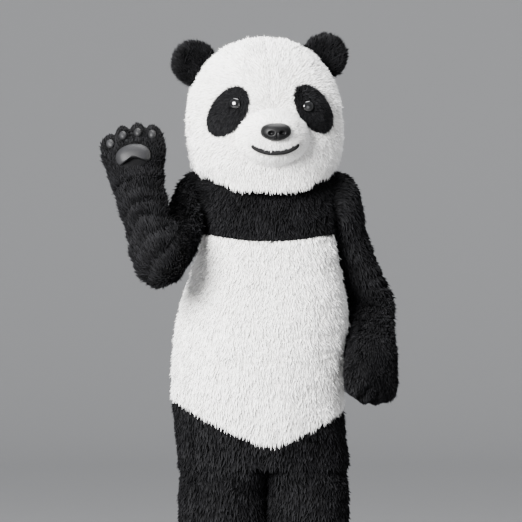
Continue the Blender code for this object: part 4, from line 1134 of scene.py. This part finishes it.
def makeHeadFur():
    spokes = 200
    turns = np.arange(spokes) * math.tau / spokes
    low = np.linspace(head["rimHeight"] - 0.004, head["midHeight"], 30)[:-1]
    lats = np.radians(np.linspace(0, 86, 60))
    high = head["midHeight"] + head["up"] * np.sin(lats) ** (2 / 2.1)
    heights = np.concatenate([low, high])
    width, depth = headSizes(heights)
    c, s = powered(turns, 2.3)
    grid = np.stack([c[:, None] * width[None], s[:, None] * depth[None],
                     np.broadcast_to(heights, (spokes, len(heights)))], -1)
    normals, _ = gridNormals(grid, True)
    grid = grid + normals * (0.002 * softNoise(grid, 70, 21))[..., None]
    seam = np.exp(-(grid[..., 0] / 0.004) ** 2) * (grid[..., 2] > 1.60) * (grid[..., 1] < 0.05)
    grid = grid - normals * (0.003 * seam)[..., None]
    x, z = grid[..., 0], grid[..., 2]
    front = grid[..., 1] < -0.05
    mx, mz, halfX, halfZ, _ = head["muzzle"]
    bare = front & (np.hypot((x - mx) / halfX, (z - mz) / halfZ) < 0.90)
    px, pz, short, long, lean = head["patch"]
    for sign in (1, -1):
        lies = math.radians(-lean) * sign
        bare |= front & inOval(x, z, (sign * px, pz), long - 0.001, short - 0.001, lies)
    away = grid - np.array([0.0, -0.19, 1.545])
    nap = unit(away) + np.array([0.0, 0.0, -0.55])
    nose = np.hypot(x / 0.13, (z - 1.54) / 0.12)
    pile = np.where(front, 0.66 + 0.34 * np.clip(nose - 0.55, 0, 1), 1.05)
    for sign in (1, -1):  # the pile is clipped short round the eye patches
        near = inOval(x, z, (sign * px, pz), long + 0.009, short + 0.009, math.radians(-lean) * sign)
        pile = np.where(front & near, 0.42, pile)
    skin = skinObject("headFur", turned(grid), True, "whitePlushFur", "paleLining", closeEnd=True,
                      nap=turnedWay(nap), pile=pile, bare=bare)
    growFur(skin, "face", "whitePlushFur", 21)
    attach(skin, "head")
    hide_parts("head_cover")


def mouthLine(x):
    return 1.4725 + 0.0195 * (np.abs(x) / 0.058) ** 2.5


def makeMuzzle():
    mx, mz, halfX, halfZ, _ = head["muzzle"]

    def straight(x, z):
        return facePoints(x, z) + np.array([0.0, -0.0006, 0.0]), np.broadcast_to(np.array([0.0, -1.0, 0.0]),
                                                                               x.shape + (3,))

    block = polarPatch("muzzleFur", (mx, mz), leaningOval(halfZ, halfX, 0.0), straight,
                       lambda share, x, z: muzzleReach(share), 38, 110)
    block.data.materials.append(materials["whitePlushFur"])
    points = np.array([v.co for v in block.data.vertices]) - suitShift
    tip = turned(np.array([[0.0, -0.25, mz + 0.02]]))[0]
    tree = BVHTree.FromObject(block, bpy.context.evaluated_depsgraph_get())
    nx, nz, noseX, noseZ = head["nose"]
    nosePlace = turned(muzzlePoints(np.array([nx]), np.array([nz])))[0]

    def underNose(centres):
        away = centres - suitShift - nosePlace
        side, up = away @ turnedWay([1.0, 0, 0]), away @ turnedWay([0, 0, 1.0])
        ahead = away @ turnedWay([0, -1.0, 0])
        overCord = up + nz - mouthLine(side)
        underCord = (overCord > -0.006) & (overCord < 0.009) & (np.abs(side) < 0.060)
        return (((side / noseX) ** 2 + (up / noseZ) ** 2 < 0.75) | underCord) & (ahead > -0.03)

    furAttributes(block, points - tip, 1.0, underNose)
    growFur(block, "short", "whitePlushFur", 22)
    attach(block, "head")
    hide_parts("muzzle")

    def noseOutline(turns):
        c, s = powered(turns, 2.7)
        u, v = noseX * c, noseZ * s
        return u * np.where(v > 0, 1.0, 1.0 - 0.42 * (v / noseZ) ** 2), v

    def noseShape(share, x, z):
        puff = 0.008 + 0.018 * np.sqrt(np.maximum(0.0, 1 - share**3.0))
        for sign in (-1, 1):
            hole = ((x - sign * 0.0135) / 0.0062) ** 2 + ((z - nz + 0.003) / 0.0045) ** 2
            puff = puff - 0.010 * np.exp(-hole**1.5)
        return puff - 0.0025 * np.exp(-((x / 0.0022) ** 2)) * (z < nz - 0.002)

    nose = polarPatch("noseMoulding", (nx, nz), noseOutline, onMuzzle, noseShape, 34, 96)
    nose.data.materials.append(materials["noseAbs"])
    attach(nose, "head")
    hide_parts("nose")

    # the mouth: a fleece cord sewn along a smile under the nose
    across = np.linspace(-0.058, 0.058, 49)
    path = muzzlePoints(across, mouthLine(across))
    way = unit(np.gradient(path, axis=0))
    out = np.array([0.0, -1.0, 0.0])
    taper = 1 - np.clip((np.abs(across) - 0.050) / 0.0085, 0, 1) ** 2 * 0.6
    grid = []
    for turn in np.arange(14) * math.tau / 14:
        cross = unit(np.cross(way, out))
        grid.append(path + out * 0.0050 + cross * (0.0060 * math.cos(turn) * taper)[:, None]
                    + out * (0.0056 * math.sin(turn) * taper)[:, None])
    mouth = loftTube("mouthCord", turned(np.array(grid)), "mouthFleece")
    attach(mouth, "head")
    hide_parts("mouth_strip")


def loftTube(name, grid, slot):
    bm = loft([grid[:, j] for j in range(grid.shape[1])])
    mesh = bpy.data.meshes.new(name)
    bm.to_mesh(mesh)
    bm.free()
    mesh.shade_smooth()
    return plainObject(name, mesh, slot)


def domeShape(share):
    return np.sqrt(np.maximum(0.0, 1 - share**2))


def makeEyes():
    px, pz, short, long, lean = head["patch"]
    for side, sign in sideSign.items():
        outline = leaningOval(long, short, math.radians(-lean) * sign)
        patch = polarPatch("eyePatchFur" + side.title(), (sign * px, pz), outline, onFace,
                           lambda share, x, z: 0.0035 + 0.0015 * domeShape(share), 16, 64)
        patch.data.materials.append(materials["blackPlushFur"])
        points = np.array([v.co for v in patch.data.vertices]) - suitShift
        ex, ez, radius = head["eye"]
        ez = ez[side]
        eyePlace = turned(facePoints(np.array([sign * ex]), np.array([ez])))[0]

        def underEye(centres, place=eyePlace, reach=radius):
            return np.linalg.norm(centres - suitShift - place, axis=1) < reach + 0.001

        middle = turned(facePoints(np.array([sign * (px - 0.03)]), np.array([pz + 0.04])))[0]
        furAttributes(patch, points - middle, 1.15, underEye)
        growFur(patch, "short", "blackPlushFur", 24 + sign)
        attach(patch, "head")
        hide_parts("eye_patch_" + side)
        disc = leaningOval(radius, radius, 0.0)
        dome = polarPatch("eyeDome" + side.title(), (sign * ex, ez), disc, onFace,
                          lambda share, x, z: 0.0065 + 0.0075 * domeShape(share), 12, 40)
        dome.data.materials.append(materials["eyeAcrylic"])
        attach(dome, "head")
        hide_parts("eye_" + side)


def makeEars():
    for side, sign in sideSign.items():
        ex, ey, ez, radius, thick = head["ear"]
        ex, ez = ex - sign * 0.005, ez + sign * 0.004  # one ear sits a little lower
        turns = np.arange(56) * math.tau / 56
        rings = []
        for lat in np.radians(np.linspace(-84, 84, 21)):
            reach = radius * math.cos(lat) ** 0.62
            push = thick * math.sin(lat)
            dish = 0.012 * np.exp(-(reach / (radius * 0.62)) ** 2) if lat < 0 else 0.0  # hollow in front
            ring = np.stack([sign * ex + reach * np.cos(turns), np.full(56, ey + push + dish),
                             ez + reach * np.sin(turns)], -1)
            rings.append(turned(ring))
        bm = loft(rings)
        mesh = bpy.data.meshes.new("earFur" + side.title())
        bm.to_mesh(mesh)
        bm.free()
        mesh.shade_smooth()
        ear = plainObject("earFur" + side.title(), mesh, "blackPlushFur")
        points = np.array([v.co for v in mesh.vertices]) - suitShift
        foot = turned(np.array([[sign * (ex - 0.05), ey, ez - 0.07]]))[0]
        furAttributes(ear, points - foot, 0.85)
        growFur(ear, "ear", "blackPlushFur", 27 + sign)
        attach(ear, "head")
        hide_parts("ear_" + side)


def makeHem():
    turns = np.arange(120) * math.tau / 120
    width, depth = headSizes(np.array(head["rimHeight"]))
    bottom = 1.382 + 0.052 * np.abs(np.cos(turns)) ** 2.2  # higher over the shoulders
    bottom += 0.003 * np.sin(turns * 7 + 1) + 0.002 * np.sin(turns * 13)
    share = np.linspace(0, 1, 14)
    top = head["rimHeight"] + 0.018
    z = top + (bottom[:, None] - top) * share[None]
    shrink = 1 - 0.06 * share**1.5
    lift = np.where(share < 0.25, 0.006 * (share - 0.25) / 0.25, 0.0)
    c, s = powered(turns, 2.3)
    grid = np.stack([c[:, None] * (width * shrink + lift), s[:, None] * (depth * shrink + lift), z], -1)
    skin = skinObject("hemFur", turned(grid), True, "whitePlushFur", "paleLining", 0.004, flip=True)
    growFur(skin, "hem", "whitePlushFur", 29)
    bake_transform(skin)
    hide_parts("head_bib")


makeHeadFur()
makeMuzzle()
makeEyes()
makeEars()
makeHem()
print("head made")


def makeTail():
    low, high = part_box("tail")
    middle = (np.array(low) + np.array(high)) / 2 - suitShift
    half = (np.array(high) - np.array(low)) / 2
    rings = []
    for lat in np.radians(np.linspace(-86, 86, 19)):
        ring = ringAt(middle + [0, half[1] * math.sin(lat), 0], (0, 1.0, 0), np.array([1.0, 0, 0]),
                      (half[0] * math.cos(lat), half[2] * math.cos(lat)), 40, 2.0)
        rings.append(ring)
    bm = loft(rings)
    mesh = bpy.data.meshes.new("tailFur")
    bm.to_mesh(mesh)
    bm.free()
    mesh.shade_smooth()
    tail = plainObject("tailFur", mesh, "blackPlushFur")
    furAttributes(tail, (0.0, 0.3, -1.0), 0.9)
    growFur(tail, "back", "blackPlushFur", 31)
    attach(tail, "torso")
    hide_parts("tail")


makeTail()
print("tail made")


# inside the suit: a foam belly pad with sewn channels, and the ribbed gaiter that closes the neck
inside = {"channelStep": 0.062, "channelDepth": 0.005, "ribs": 60, "ribDepth": 0.0012, "gaiterWall": 0.003}


def makeBellyPad():
    block = bmesh.new()
    block.from_mesh(frame["nodes"]["belly_pad"].data)
    bmesh.ops.remove_doubles(block, verts=block.verts, dist=0.0002)
    pad = fused("bellyPad", [block], 0.005, 8)
    pad.data.materials.clear()
    pad.data.materials.append(materials["polyFoam"])
    spots = np.array([v.co for v in pad.data.vertices])
    normals = np.array([v.normal for v in pad.data.vertices])
    step, depth = inside["channelStep"], inside["channelDepth"]
    for way in ((1.0, 1.0), (1.0, -1.0)):
        run = (spots[:, 0] * way[0] + spots[:, 2] * way[1]) / math.sqrt(2)
        away = np.abs((run / step + 0.5) % 1 - 0.5) * step
        spots -= normals * (depth * np.exp(-(away / 0.006) ** 2))[:, None]
    pad.data.vertices.foreach_set("co", spots.astype(np.float32).ravel())
    pad.data.update()
    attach(pad, "torso")
    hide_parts("belly_pad")


def makeGaiter():
    low, high = (np.array(v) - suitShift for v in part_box("neck_gaiter"))
    middle, half = (low + high) / 2, (high - low) / 2
    turns = np.arange(240) * math.tau / 240
    rib = inside["ribDepth"] * (np.cos(turns * inside["ribs"]) - 1)
    heights = np.linspace(low[2], high[2], 12)
    roll = 0.0012 * np.sin(np.linspace(0, math.pi, 12)) ** 0.5  # the two edges are turned in
    reach = rib[:, None] + roll[None] - 0.0012
    x = middle[0] + np.cos(turns)[:, None] * (half[0] + reach)
    y = middle[1] + np.sin(turns)[:, None] * (half[1] + reach)
    grid = np.stack([x, y, np.broadcast_to(heights, x.shape)], -1)
    gaiter = skinObject("neckGaiter", grid, True, "gaiterKnit", "gaiterKnit", inside["gaiterWall"])
    for name in ("nap", "pile", "furSide"):
        gaiter.data.attributes.remove(gaiter.data.attributes[name])
    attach(gaiter, "neck")
    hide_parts("neck_gaiter")


makeBellyPad()
makeGaiter()
print("belly pad and gaiter made")

# firm nodes keep their CAD form and get their real finish
finishes = {
    "head_shell": "polyFoam",
    "helmet": "helmetHdpe",
    "chin_strap": "nylonWebbing",
    "zip_tape": "zipTape",
    "zip_slider": "platedZinc",
    "zip_pull": "platedZinc",
    "sole_left": "soleRubber",
    "sole_right": "soleRubber",
}
for name, finish in finishes.items():
    node = frame["nodes"][name]
    for k in range(len(node.material_slots)):
        node.material_slots[k].material = materials[finish]
    if not node.material_slots:
        node.data.materials.append(materials[finish])
print("finishes set")


# studio: a round floor, pale away from the suit, that rises into a wall on every side; painted light: darker
# paint near the suit and paler paint outward to the wall even out the lamps' falloff with distance; and soft
# light from the front left
studio = {
    "floorRadius": 11.0,
    "wallRadius": 17.0,
    "wallHeight": 9.0,
    # painted light: near floor darker, far floor and wall paler, making up for the lamp light that falls off
    # with distance
    "nearPaint": "#8d8d8e",
    "farPaint": "#bcbcbd",
    "wallPaint": "#cbcbcc",
    "spokes": 96,
}


def makeStudio():
    flat, spokes = studio["floorRadius"], studio["spokes"]
    rise = studio["wallRadius"] - flat
    section = [(r, 0.0) for r in (0.5, 1.5, 3.0, 5.0, 8.0, flat)]
    bend = np.linspace(0.1, math.pi / 2, 16)
    section += [(flat + rise * math.sin(a), rise - rise * math.cos(a)) for a in bend]
    section += [(studio["wallRadius"], studio["wallHeight"])]
    around = np.arange(spokes) * math.tau / spokes
    bm = bmesh.new()
    rows = [[bm.verts.new((r * math.cos(t), r * math.sin(t), z - 0.0005)) for t in around]
            for r, z in section]
    bm.faces.new(rows[0])
    for low, high in zip(rows, rows[1:]):
        for k in range(spokes):
            j = (k + 1) % spokes
            bm.faces.new([low[k], high[k], high[j], low[j]])
    mesh = bpy.data.meshes.new("studioSweep")
    bm.to_mesh(mesh)
    bm.free()
    mesh.shade_smooth()
    sweep = plainObject("studioSweep", mesh)
    made, tree = newMaterial("paintedSweep")
    coords = addNode(tree, "ShaderNodeTexCoord")
    far = addNode(tree, "ShaderNodeVectorMath", {"operation": "LENGTH"}, {0: coords.outputs["Object"]})
    share = addNode(tree, "ShaderNodeMath", {"operation": "DIVIDE", 1: studio["wallRadius"]},
                    {0: far.outputs["Value"]})
    ramp = addNode(tree, "ShaderNodeValToRGB", None, {"Fac": share.outputs[0]})
    # painted light: the paint grows paler with distance from the middle, to even out the lamps' falloff
    setRamp(ramp, [(0.20, studio["nearPaint"]), (0.42, studio["farPaint"]), (1.0, studio["wallPaint"])])
    finishMaterial(tree, {"Roughness": 0.9}, {"Base Color": ramp.outputs["Color"]})
    mesh.materials.append(made)

    def area(name, place, target, size, power, tint):
        data = bpy.data.lights.new(name, "AREA")
        data.shape = "DISK"
        data.size = size
        data.energy = power
        data.color = tint
        lamp = bpy.data.objects.new(name, data)
        lamp.location = place
        lamp.rotation_euler = (Vector(target) - Vector(place)).to_track_quat("-Z", "Y").to_euler()
        scene.collection.objects.link(lamp)

    area("keyLight", (-2.4, -3.6, 2.6), (0, 0, 1.15), 2.2, 1120, (1.0, 0.995, 0.985))
    area("fillLight", (2.4, -3.2, 1.4), (0, 0, 1.1), 2.6, 30, (0.97, 0.98, 1.0))
    area("topLight", (0.2, 0.4, 3.4), (0, 0, 1.2), 1.8, 90, (1, 1, 1))
    world = bpy.data.worlds.new("studioAir")
    scene.world = world
    world.use_nodes = True
    world.node_tree.nodes["Background"].inputs["Color"].default_value = (0.85, 0.87, 0.9, 1)
    world.node_tree.nodes["Background"].inputs["Strength"].default_value = 0.55

    lens = bpy.data.cameras.new("camera")
    lens.lens = 220.6
    lens.sensor_width = 36
    camera = bpy.data.objects.new("camera", lens)
    camera.location = Vector((-0.0025, -8.0, 1.210)) + Vector(suitShift)
    camera.rotation_euler = (math.radians(90), 0, 0)
    scene.collection.objects.link(camera)
    scene.camera = camera


makeStudio()
tally = sum(len(o.data.polygons) for o in scene.objects if o.type == "MESH" and not o.hide_render)
print("studio made; faces shown", tally)

bpy.context.view_layer.update()
